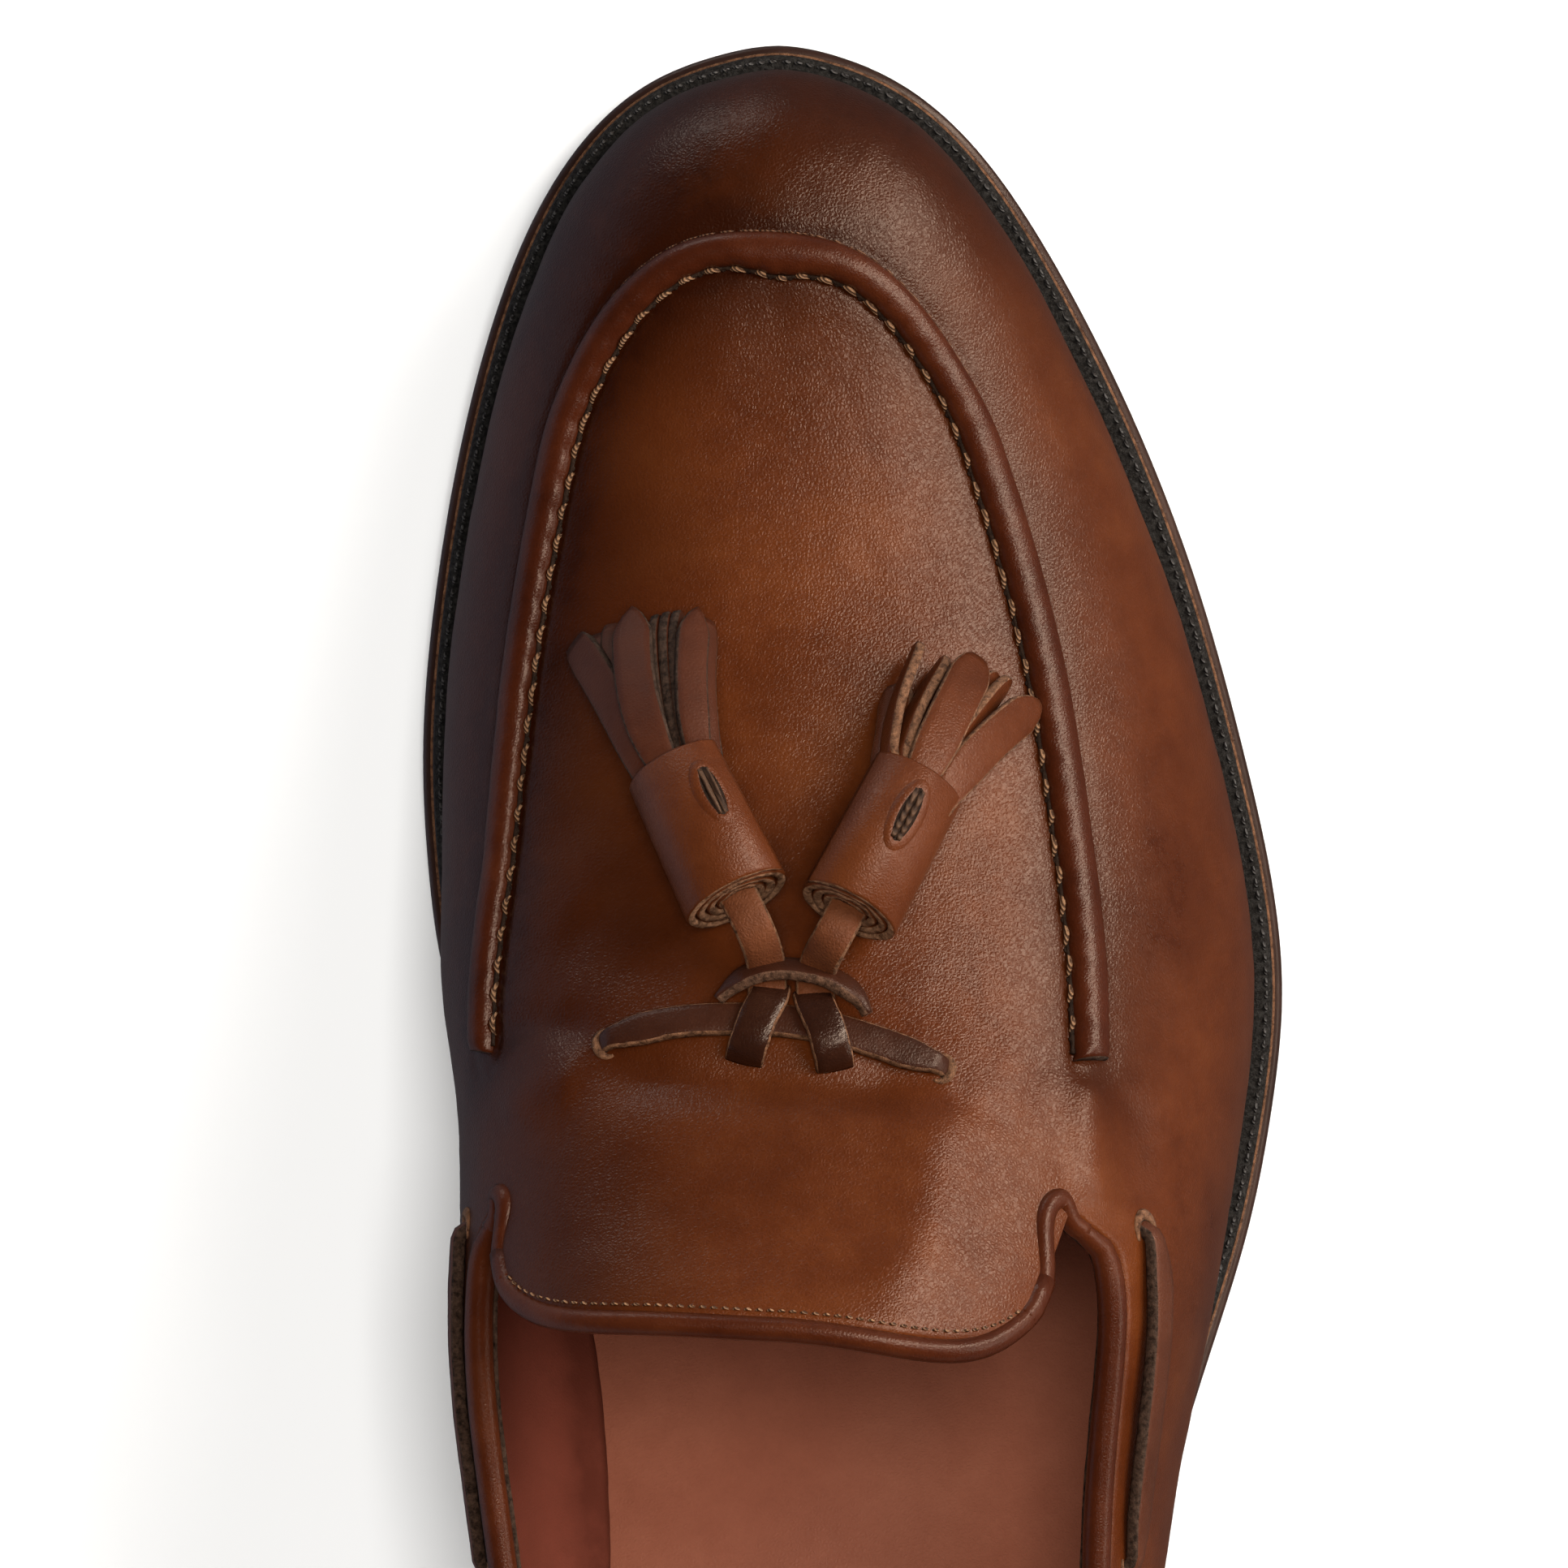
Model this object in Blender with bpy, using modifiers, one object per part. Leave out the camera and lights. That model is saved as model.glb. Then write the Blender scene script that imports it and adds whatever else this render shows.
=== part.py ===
"""A men's tassel loafer for the right foot, in metres, standing on its sole.

X runs across the shoe with +X to the outer (lateral) side, Y runs from heel to toe, Z is up.
The origin is on the floor, in the middle of the sole's length and width.
Pieces are modelled about the heel's long axis, which an empty carries to its place.
Tables hold shares of the named sizes. "along" is a share of the sole's length from the heel.
A "station" runs round the shoe: 0 heel tip, 1 end of the heel's fan, 2 start of the toe's fan, 3 toe tip.
A "rise" runs up the upper: 0 feather line, 1 widest point, 2 ridge.
"""

import math

import bmesh
import bpy
import numpy as np
from mathutils import Vector
from mathutils.bvhtree import BVHTree

# Driving sizes
SHOE_LENGTH = 0.2950
BALL_WIDTH = 0.1078
INSTEP_HEIGHT = 0.076
HEEL_HEIGHT = 0.022
TOE_SPRING = 0.008
OUTSOLE_THICKNESS = 0.005
WELT_THICKNESS = 0.003
INSOLE_THICKNESS = 0.0056
TOP_LIFT_THICKNESS = 0.006
UPPER_WALL = 0.0022
WELT_REACH = 0.0044
OUTSOLE_LIP = 0.0013
ARCH_OVERHANG = 0.015
PART_GAP = 0.0003
HEEL_BREAST_HOLLOW = 0.004
APRON_ROLL_WIDTH = 0.0048
APRON_ROLL_HEIGHT = 0.0019
COLLAR_ROLL_DIAMETER = 0.0032
LACE_WIDTH = 0.0046
LACE_THICKNESS = 0.0015
LACE_DROP = 0.0088
WELT_SEAT = 0.0032
HEEL_INSET = 0.0004
HEEL_TAPER = 0.0012
TONGUE_LENGTH = 0.0155
TONGUE_SKEW = 0.0030
TONGUE_BOW = 0.0030
TONGUE_BEAD_DIAMETER = 0.0024
KNOT_SPACING = 0.0093
STRAP_CLEARANCE = 0.0007
TASSEL_HEAD_DIAMETER = 0.0124
TASSEL_HEAD_LENGTH = 0.0178
TASSEL_STRIP_WIDTH = 0.0052
TASSEL_STRIP_THICKNESS = 0.0013
TASSEL_STRIP_LENGTH = 0.0190

# Places along the sole, as shares of its length from the heel
HEEL_FAN_START = 0.14
TOE_FAN_START = 0.84
HEEL_FAN_DEPTH = 0.035
TOE_FAN_DEPTH = 0.045
SEAT_END = 0.20
HEEL_BREAST = 0.262
FLAT_START = 0.60
FLAT_END = 0.70
NOTCH = 0.514
NOTCH_SLOPE = 0.030
TONGUE_TAPER = 0.10
TONGUE_SQUARENESS = 4
TONGUE_BEAD_REACH = 0.86
TONGUE_BEAD_STEPS = 10
TASSEL_SEAT = 1.16
FRINGE_LAYER_GAP = 0.0004
EDGE_NUDGE = 0.0001
SIDE_LACE_FRONT = 0.506
SIDE_LACE_BACK = 0.362
HEEL_LACE_FRONT = 0.305

# The sole's edge: shares of the ball width from the long axis
SOLE_EDGE = (
    # along, medial, lateral
    (0.000, 0.004, 0.004),
    (0.017, -0.156, 0.163),
    (0.054, -0.256, 0.265),
    (0.108, -0.304, 0.314),
    (0.170, -0.309, 0.325),
    (0.250, -0.290, 0.337),
    (0.320, -0.276, 0.358),
    (0.390, -0.275, 0.394),
    (0.450, -0.292, 0.444),
    (0.500, -0.327, 0.487),
    (0.550, -0.376, 0.515),
    (0.600, -0.436, 0.528),
    (0.650, -0.460, 0.515),
    (0.700, -0.467, 0.485),
    (0.770, -0.452, 0.432),
    (0.840, -0.418, 0.359),
    (0.890, -0.380, 0.292),
    (0.920, -0.348, 0.245),
    (0.955, -0.292, 0.177),
    (0.972, -0.250, 0.131),
    (0.986, -0.196, 0.076),
    (0.996, -0.124, 0.009),
    (1.000, -0.055, -0.055),
)

# How the upper's wall stands on that edge, on the medial (m) and lateral (l) side.
# welt: shares of WELT_REACH; bulge: shares of ARCH_OVERHANG, out from the feather line;
# wide: height of the widest point, a share of INSTEP_HEIGHT; full: 2 is an ellipse, 3 is squarer.
WALL_SECTIONS = (
    # along, welt_m, welt_l, bulge_m, bulge_l, wide_m, wide_l, full_m, full_l
    (0.00, 0.50, 0.50, 0.06, 0.06, 0.26, 0.26, 2.40, 2.40),
    (0.10, 0.46, 0.48, 0.09, 0.09, 0.26, 0.26, 2.45, 2.35),
    (0.17, 0.42, 0.50, 0.18, 0.14, 0.27, 0.24, 2.55, 2.25),
    (0.25, 0.38, 0.52, 0.42, 0.20, 0.29, 0.21, 2.60, 2.05),
    (0.32, 0.36, 0.52, 0.74, 0.23, 0.32, 0.19, 2.60, 1.92),
    (0.39, 0.36, 0.55, 0.97, 0.19, 0.34, 0.17, 2.60, 1.88),
    (0.45, 0.40, 0.68, 1.00, 0.11, 0.35, 0.16, 2.85, 1.95),
    (0.50, 0.50, 0.88, 0.80, 0.05, 0.35, 0.15, 3.10, 2.10),
    (0.55, 0.62, 0.97, 0.52, 0.03, 0.31, 0.14, 3.00, 2.12),
    (0.60, 0.70, 1.00, 0.24, 0.03, 0.25, 0.13, 2.75, 2.10),
    (0.65, 0.76, 0.96, 0.09, 0.03, 0.20, 0.13, 2.60, 2.10),
    (0.70, 0.84, 0.92, 0.05, 0.03, 0.17, 0.12, 2.52, 2.12),
    (0.77, 0.85, 0.95, 0.04, 0.03, 0.14, 0.12, 2.45, 2.18),
    (0.84, 0.88, 0.98, 0.04, 0.03, 0.12, 0.11, 2.40, 2.24),
    (0.92, 0.91, 0.95, 0.04, 0.04, 0.11, 0.11, 2.35, 2.30),
    (1.00, 0.93, 0.93, 0.04, 0.04, 0.10, 0.10, 2.32, 2.32),
)

# The ridge of the last: across is a share of the ball width, height a share of INSTEP_HEIGHT
# above the feather line. Behind the tongue it only shapes the quarters below it.
RIDGE = (
    # along, across, height
    (0.08, 0.000, 0.955),
    (0.20, -0.012, 0.926),
    (0.30, -0.030, 0.932),
    (0.40, -0.045, 0.992),
    (0.47, -0.052, 1.000),
    (0.50, -0.053, 0.952),
    (0.55, -0.054, 0.868),
    (0.60, -0.054, 0.775),
    (0.65, -0.055, 0.690),
    (0.70, -0.055, 0.617),
    (0.77, -0.056, 0.530),
    (0.84, -0.058, 0.457),
    (0.89, -0.058, 0.412),
)

# The finished top line: heights are shares of INSTEP_HEIGHT above the feather line
COLLAR_LINE = (
    # along, medial, lateral
    (0.00, 0.742, 0.742),
    (0.05, 0.722, 0.722),
    (0.15, 0.640, 0.640),
    (0.25, 0.570, 0.580),
    (0.35, 0.592, 0.620),
    (0.45, 0.680, 0.715),
    (NOTCH, 0.745, 0.775),
)

# The raised roll round the apron: its place is a share of the way from ridge to widest point
APRON_LINE = (
    # station, medial, lateral
    (1.62, 0.885, 0.645),
    (1.75, 0.812, 0.632),
    (1.88, 0.768, 0.628),
    (2.00, 0.730, 0.592),
    (2.25, 0.610, 0.490),
    (2.50, 0.430, 0.370),
    (2.75, 0.280, 0.265),
    (3.00, 0.225, 0.225),
)

# The lace across the vamp: across is a share of the ball width
LACE_BAR = (
    # across, along
    (-0.255, 0.583),
    (-0.150, 0.587),
    (-0.043, 0.587),
    (0.060, 0.582),
    (0.141, 0.574),
)
KNOT_ACROSS = -0.043
KNOT_ALONG = 0.587

# The two tassels: where each head starts, its lean and its fringe's lean in degrees,
# and the fringe's reach as a share of TASSEL_STRIP_LENGTH
TASSELS = (
    # name, across, along, lean, fringe_lean, reach
    ("tassel_medial", -0.098, 0.6415, -26, -17, 1.0),
    ("tassel_lateral", 0.020, 0.6365, 28, 16, 0.82),
)

# The strips of one fringe: how far each turns from the middle, and its layer
FRINGE_TURN = 24
FRINGE = (
    # turn in degrees, layer
    (-24, 0),
    (-8, 0),
    (8, 0),
    (24, 0),
    (-17, 1),
    (0, 1),
    (17, 1),
)

# A fringe strip from its root to its tip: shares of its length and of TASSEL_STRIP_WIDTH
FRINGE_TAPER = (
    # along the strip, width
    (0.00, 0.60),
    (0.30, 0.90),
    (0.60, 1.00),
    (0.85, 1.00),
    (1.00, 0.45),
)
# Where a strip leaves the head: its depth and its levels as shares of the head's radius
STRIP_ROOT = 0.60
STRIP_LEVEL = 0.35
STRIP_LAYER_RISE = 0.40
STRIP_SETTLED = 0.80
HEAD_NARROWING = 0.97

# A raised strip's profile: shares of its width and height
STRIP_PROFILE = (
    # across, lift
    (-0.50, 0.30),
    (-0.28, 0.88),
    (0.00, 1.00),
    (0.28, 0.88),
    (0.50, 0.30),
)

# The knot's flat loop: shares of KNOT_SPACING across, of LACE_WIDTH forward, of the bar's height up
KNOT_LOOP = (
    # across, forward, up
    (-0.95, 0.90, 1.10),
    (-0.50, 1.20, 1.30),
    (0.00, 1.30, 1.35),
    (0.50, 1.15, 1.30),
    (0.95, 0.75, 1.10),
)
KNOT_LOOP_WIDTH = 0.80

# Each wrap round the bar: shares of half the LACE_WIDTH forward and of the bar's height up
KNOT_WRAP = (
    # forward, up
    (2.40, 0.80),
    (1.40, 1.10),
    (0.00, 1.15),
    (-1.30, 1.10),
    (-1.60, 0.55),
    (-1.95, 0.15),
)

# Where the two ends leave the knot: shares of KNOT_SPACING, LACE_WIDTH and the bar's height
KNOT_END_ACROSS = 0.27
KNOT_END_FORWARD = 1.20
KNOT_END_LEVEL = 0.80


def spline(along, values):
    """A natural cubic spline through the values, as a function."""
    along, values = np.array(along, float), np.array(values, float)
    step, count = np.diff(along), len(along)
    matrix, right = np.eye(count), np.zeros(count)
    for i in range(1, count - 1):
        matrix[i, i - 1 : i + 2] = step[i - 1], 2 * (step[i - 1] + step[i]), step[i]
        rise = (values[i + 1] - values[i]) / step[i] - (values[i] - values[i - 1]) / step[i - 1]
        right[i] = 6 * rise
    bend = np.linalg.solve(matrix, right)

    def value(x):
        i = int(np.clip(np.searchsorted(along, x) - 1, 0, count - 2))
        a, b = (along[i + 1] - x) / step[i], (x - along[i]) / step[i]
        cubic = (a**3 - a) * bend[i] + (b**3 - b) * bend[i + 1]
        return float(a * values[i] + b * values[i + 1] + cubic * step[i] ** 2 / 6)

    return value


def columns(table):
    """One spline for each column of a table, against its first column."""
    by_column = list(zip(*table))
    return [spline(by_column[0], column) for column in by_column[1:]]


def sole_edges():
    """Each side of the sole's edge from heel to toe: arc lengths, plan points and inward normals."""
    sides = [
        [(row[column] * BALL_WIDTH, (row[0] - 0.5) * SHOE_LENGTH) for row in SOLE_EDGE]
        for column in (1, 2)
    ]
    loop = sides[0] + sides[1][-2:0:-1]
    overlap = 4
    points = np.array(loop[-overlap:] + loop + loop[: overlap + 1])
    arc = np.concatenate([[0.0], np.cumsum(np.hypot(*np.diff(points, axis=0).T))])
    curves = [spline(arc, points[:, axis]) for axis in (0, 1)]
    heel, toe = overlap, overlap + len(SOLE_EDGE) - 1
    spans = ((arc[heel], arc[toe], 1), (arc[heel + len(loop)], arc[toe], -1))
    edges = {}
    for side, (start, end, turn) in zip((-1, 1), spans):
        steps = np.linspace(start, end, 241)
        plan = np.array([[curve(step) for curve in curves] for step in steps])
        ahead = np.array([[curve(step + EDGE_NUDGE) for curve in curves] for step in steps])
        behind = np.array([[curve(step - EDGE_NUDGE) for curve in curves] for step in steps])
        tangent = ahead - behind
        tangent /= np.hypot(*tangent.T)[:, None]
        inward = np.stack([tangent[:, 1], -tangent[:, 0]], axis=1)
        edges[side] = np.abs(steps - start), plan, inward
    return edges


EDGES = sole_edges()
WALL = columns(WALL_SECTIONS)
RIDGE_ACROSS, RIDGE_HEIGHT = columns(RIDGE)
COLLAR = dict(zip((-1, 1), columns(COLLAR_LINE)))
APRON = dict(zip((-1, 1), columns(APRON_LINE)))
NOTCH_STATION = 1 + (NOTCH - HEEL_FAN_START) / (TOE_FAN_START - HEEL_FAN_START)


def station_at(along):
    """The station of a place between the two fans."""
    return 1 + (along - HEEL_FAN_START) / (TOE_FAN_START - HEEL_FAN_START)


def arc_at(side, station):
    """The arc length of a station along one side of the sole's edge."""
    arc, plan, _ = EDGES[side]
    fan_ends = [(share - 0.5) * SHOE_LENGTH for share in (HEEL_FAN_START, TOE_FAN_START)]
    heel_arc, toe_arc = np.interp(fan_ends, plan[:, 1], arc)
    if station <= 1:
        return heel_arc * station
    if station >= 2:
        return toe_arc + (arc[-1] - toe_arc) * (station - 2)
    y = fan_ends[0] + (fan_ends[1] - fan_ends[0]) * (station - 1)
    return float(np.interp(y, plan[:, 1], arc))


def edge_point(side, arc, inset):
    """A plan point at an inset from the sole's edge."""
    arcs, plan, inward = EDGES[side]
    return Vector([np.interp(arc, arcs, plan[:, k] + inset * inward[:, k]) for k in (0, 1)])


def wall_value(column, side, along):
    """A value of WALL_SECTIONS: column 0 welt, 1 bulge, 2 wide, 3 full."""
    return WALL[2 * column + (side > 0)](min(max(along, 0.0), 1.0))


def ease(share):
    """A smooth step from 0 to 1."""
    share = min(max(share, 0.0), 1.0)
    return share * share * (3 - 2 * share)


def sole_bottom(y):
    """Height of the outsole's underside above the floor: heel seat, shank, flat tread, toe spring."""
    along = y / SHOE_LENGTH + 0.5
    if along < FLAT_START:
        return HEEL_HEIGHT * (1 - ease((along - SEAT_END) / (FLAT_START - SEAT_END)))
    spring = max(0.0, (along - FLAT_END) / (1 - FLAT_END))
    return TOE_SPRING * spring**1.8


def feather_height(y):
    """Height of the welt's top, with the gap on which the upper stands."""
    return sole_bottom(y) + OUTSOLE_THICKNESS + WELT_THICKNESS + 2 * PART_GAP


def feather_inset(side, arc):
    """How far the upper stands in from the sole's edge."""
    along = edge_point(side, arc, 0).y / SHOE_LENGTH + 0.5
    return WELT_REACH * wall_value(0, side, along)


def ridge_point(station):
    """The ridge of the last, with a short stretch of it inside each fan."""
    fans = []
    for depth, arcs in (
        (HEEL_FAN_DEPTH, [arc_at(side, 1) for side in (-1, 1)]),
        (TOE_FAN_DEPTH, [arc_at(side, 3) - arc_at(side, 2) for side in (-1, 1)]),
    ):
        fans.append(sum(arcs) / 2 / (depth * SHOE_LENGTH))
    if station < 1:
        along = HEEL_FAN_START - HEEL_FAN_DEPTH * (1 - max(station, 0.0) ** fans[0])
    elif station > 2:
        along = TOE_FAN_START + TOE_FAN_DEPTH * (1 - max(3 - station, 0.0) ** fans[1])
    else:
        along = HEEL_FAN_START + (station - 1) * (TOE_FAN_START - HEEL_FAN_START)
    y = (along - 0.5) * SHOE_LENGTH
    height = feather_height(y) + RIDGE_HEIGHT(along) * INSTEP_HEIGHT
    return Vector((RIDGE_ACROSS(along) * BALL_WIDTH, y, height))


SECTIONS = {}


def section(side, station):
    """What one section of the upper is made of: feather, ridge, bulge, widest height and fullness."""
    key = side, round(station, 6)
    if key not in SECTIONS:
        arc = arc_at(side, station)
        plan = edge_point(side, arc, feather_inset(side, arc))
        along = plan.y / SHOE_LENGTH + 0.5
        feather = plan.to_3d()
        feather.z = feather_height(plan.y)
        SECTIONS[key] = (
            feather,
            ridge_point(station),
            wall_value(1, side, along) * ARCH_OVERHANG,
            wall_value(2, side, along) * INSTEP_HEIGHT,
            wall_value(3, side, along),
        )
    return SECTIONS[key]


def upper_point(side, station, rise):
    """A point of the upper's outer face."""
    feather, ridge, bulge, wide, full = section(side, station)
    inward = (ridge - feather).to_2d().normalized().to_3d()
    if rise < 1:
        return feather - inward * bulge * (1 - (1 - rise) ** 2) + Vector((0, 0, wide * rise))
    turn = (min(rise, 2.0) - 1) * math.pi / 2
    run = max(math.cos(turn), 0.0) ** (2 / full)
    lift = math.sin(turn) ** (2 / full)
    widest = feather - inward * bulge
    point = ridge.lerp(widest, run)
    point.z = feather.z + wide + (ridge.z - feather.z - wide) * lift
    return point


def upper_normal(side, station, rise):
    """The outward normal of the upper's outer face."""
    step = 0.004
    low, high = max(station - step, 0.0), min(station + step, 3.0)
    under, over = max(rise - step, 0.0), min(rise + step, 2.0)
    forward = upper_point(side, high, rise) - upper_point(side, low, rise)
    upward = upper_point(side, station, over) - upper_point(side, station, under)
    return (side * forward.cross(upward)).normalized()


def rise_at_height(side, station, height):
    """The rise at which a section reaches a height above its feather line."""
    feather, ridge, _, wide, full = section(side, station)
    lift = (height - wide) / (ridge.z - feather.z - wide)
    return 1 + math.asin(min(max(lift, 0.0), 1.0) ** (full / 2)) / (math.pi / 2)


def collar_height(side, station):
    """The finished top line above the feather line."""
    feather = section(side, station)[0]
    along = feather.y / SHOE_LENGTH + 0.5
    return COLLAR[side](min(max(along, 0.0), NOTCH)) * INSTEP_HEIGHT


def wall_top(side, station):
    """The rise of the wall's own top, which leaves room for the rolled collar on it."""
    room = COLLAR_ROLL_DIAMETER + PART_GAP
    drop = room * ease((NOTCH_STATION - station) / NOTCH_SLOPE)
    return rise_at_height(side, station, collar_height(side, station) - drop)


def material(name, colour, roughness):
    """A plain leather or rubber material."""
    surface = bpy.data.materials.new(name)
    surface.use_nodes = True
    shader = surface.node_tree.nodes["Principled BSDF"]
    shader.inputs["Base Color"].default_value = (*colour, 1.0)
    shader.inputs["Roughness"].default_value = roughness
    shader.inputs["Metallic"].default_value = 0.0
    surface.diffuse_color = (*colour, 1.0)
    return surface


def add_mesh(name, mesh_data, surface, collection, smooth=True):
    """A new object from a bmesh, its stray double points merged."""
    bmesh.ops.remove_doubles(mesh_data, verts=mesh_data.verts, dist=0.00005)
    bmesh.ops.dissolve_degenerate(mesh_data, edges=mesh_data.edges, dist=0.00001)
    mesh = bpy.data.meshes.new(name)
    mesh_data.to_mesh(mesh)
    mesh_data.free()
    mesh.materials.append(surface)
    mesh.polygons.foreach_set("use_smooth", [smooth] * len(mesh.polygons))
    piece = bpy.data.objects.new(name, mesh)
    collection.objects.link(piece)
    return piece


def add_grid(mesh_data, rows):
    """Faces between rows of points, and the vertices made for them."""
    verts = [[mesh_data.verts.new(point) for point in row] for row in rows]
    for near, far in zip(verts, verts[1:]):
        for a, b, c, d in zip(near, near[1:], far[1:], far):
            mesh_data.faces.new((a, b, c, d))
    return verts


def slab(name, upper_rows, lower_rows, surface, collection, smooth=False, closed=False):
    """A closed solid between two equal grids of points, or a ring of them."""
    mesh_data = bmesh.new()
    top = add_grid(mesh_data, upper_rows)
    bottom = add_grid(mesh_data, lower_rows)
    borders = [[row[0] for row in top], [row[-1] for row in top]]
    feet = [[row[0] for row in bottom], [row[-1] for row in bottom]]
    if closed:
        for grid in (top, bottom):
            for a, b, c, d in zip(grid[-1], grid[-1][1:], grid[0][1:], grid[0]):
                mesh_data.faces.new((a, b, c, d))
        borders = [line + line[:1] for line in borders]
        feet = [line + line[:1] for line in feet]
    else:
        borders += [top[0], top[-1]]
        feet += [bottom[0], bottom[-1]]
    for line, foot in zip(borders, feet):
        for a, b, c, d in zip(line, line[1:], foot[1:], foot):
            mesh_data.faces.new((a, b, c, d))
    bmesh.ops.remove_doubles(mesh_data, verts=mesh_data.verts, dist=0.00005)
    bmesh.ops.recalc_face_normals(mesh_data, faces=mesh_data.faces)
    if mesh_data.calc_volume(signed=True) < 0:
        bmesh.ops.reverse_faces(mesh_data, faces=mesh_data.faces)
    return add_mesh(name, mesh_data, surface, collection, smooth)


def add_bevel(piece, width, segments=1):
    """Round the sharp edges of a piece."""
    bevel = piece.modifiers.new("edges", "BEVEL")
    bevel.width = width
    bevel.segments = segments
    bevel.limit_method = "ANGLE"
    bevel.angle_limit = math.radians(40)


def sole_stations(first, last, count):
    """Evenly spaced stations."""
    return [first + (last - first) * i / count for i in range(count + 1)]


def sole_rows(stations, inset, height, shares=(0.0, 0.5, 1.0), hollow=0.0):
    """Rows of points across the sole: inset(side, arc) and height(y) give place and level."""
    rows = []
    for station in stations:
        ends = []
        for side in (-1, 1):
            arc = arc_at(side, station)
            ends.append(edge_point(side, arc, inset(side, arc)))
        back = hollow * ease((station - stations[0]) / (stations[-1] - stations[0])) ** 4
        row = []
        for share in shares:
            point = ends[0].lerp(ends[1], share)
            point.y -= back * (1 - (2 * share - 1) ** 2)
            row.append((point.x, point.y, height(point.y)))
        rows.append(row)
    return rows


def even_inset(distance):
    """An inset that is the same all round."""
    return lambda side, arc: distance


def feather_offset(distance):
    """An inset measured inwards from the upper's feather line."""
    return lambda side, arc: feather_inset(side, arc) + distance


def above_sole(distance):
    """A level above the outsole's underside."""
    return lambda y: sole_bottom(y) + distance


def ring_rows(stations, insets, height):
    """Rows of a closed ring: one row of points through its width at each station."""
    path = [(-1, station) for station in stations] + [(1, station) for station in stations[-2:0:-1]]
    rows = []
    for side, station in path:
        arc = arc_at(side, station)
        points = [edge_point(side, arc, inset(side, arc)) for inset in insets]
        rows.append([(point.x, point.y, height(point.y)) for point in points])
    return rows


def build_sole(collection, colours):
    """Outsole, welt, insole, heel stack and top lift."""
    stations = sole_stations(0, 3, 46)
    top = sole_rows(stations, even_inset(0), above_sole(OUTSOLE_THICKNESS))
    bottom = sole_rows(stations, even_inset(0), sole_bottom)
    outsole = slab("outsole", top, bottom, colours["sole_leather"], collection)
    add_bevel(outsole, 0.0007)

    welt_base = OUTSOLE_THICKNESS + PART_GAP
    welt_insets = (even_inset(OUTSOLE_LIP), feather_offset(WELT_SEAT))
    top = ring_rows(stations, welt_insets, above_sole(welt_base + WELT_THICKNESS))
    bottom = ring_rows(stations, welt_insets, above_sole(welt_base))
    welt = slab("welt", top, bottom, colours["edge_black"], collection, closed=True)
    add_bevel(welt, 0.0005)

    inside = feather_offset(WELT_SEAT + PART_GAP)
    top = sole_rows(stations, inside, above_sole(welt_base + INSOLE_THICKNESS))
    bottom = sole_rows(stations, inside, above_sole(welt_base))
    slab("insole", top, bottom, colours["insole_tan"], collection)

    breast = station_at(HEEL_BREAST)
    stations = sole_stations(0, breast, 20)
    shares = (0.0, 0.2, 0.4, 0.6, 0.8, 1.0)
    top = sole_rows(stations, even_inset(HEEL_INSET), above_sole(-PART_GAP), shares, HEEL_BREAST_HOLLOW)
    stack_foot = TOP_LIFT_THICKNESS + PART_GAP
    waist = even_inset(HEEL_INSET + HEEL_TAPER)
    bottom = sole_rows(stations, waist, lambda y: stack_foot, shares, HEEL_BREAST_HOLLOW)
    slab("heel_stack", top, bottom, colours["edge_black"], collection)

    top = sole_rows(stations, waist, lambda y: TOP_LIFT_THICKNESS, shares, HEEL_BREAST_HOLLOW)
    bottom = sole_rows(stations, waist, lambda y: 0.0, shares, HEEL_BREAST_HOLLOW)
    lift = slab("heel_top_lift", top, bottom, colours["rubber_black"], collection)
    add_bevel(lift, 0.0005)


def tongue_rise(side, fraction):
    """The rise of a place across the tongue: fraction is 1 at the notch, 0 on the ridge."""
    notch = wall_top(side, NOTCH_STATION)
    return 2 - (2 - notch) * fraction


def tongue_point(across, share, lookup=upper_point):
    """A place on the tongue: across is -1 to 1 between the notches, share is 0 at them, 1 at its edge."""
    side = -1 if across < 0 else 1
    round_off = max(0.0, 1 - abs(across) ** TONGUE_SQUARENESS) ** (1 / TONGUE_SQUARENESS)
    reach = TONGUE_LENGTH + TONGUE_SKEW * across - TONGUE_BOW * (1 - across**2) ** 2
    back = share * round_off * reach
    taper = 1 - TONGUE_TAPER * back / TONGUE_LENGTH
    station = NOTCH_STATION - back / SHOE_LENGTH / (TOE_FAN_START - HEEL_FAN_START)
    return lookup(side, station, tongue_rise(side, abs(across) * taper))


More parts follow.
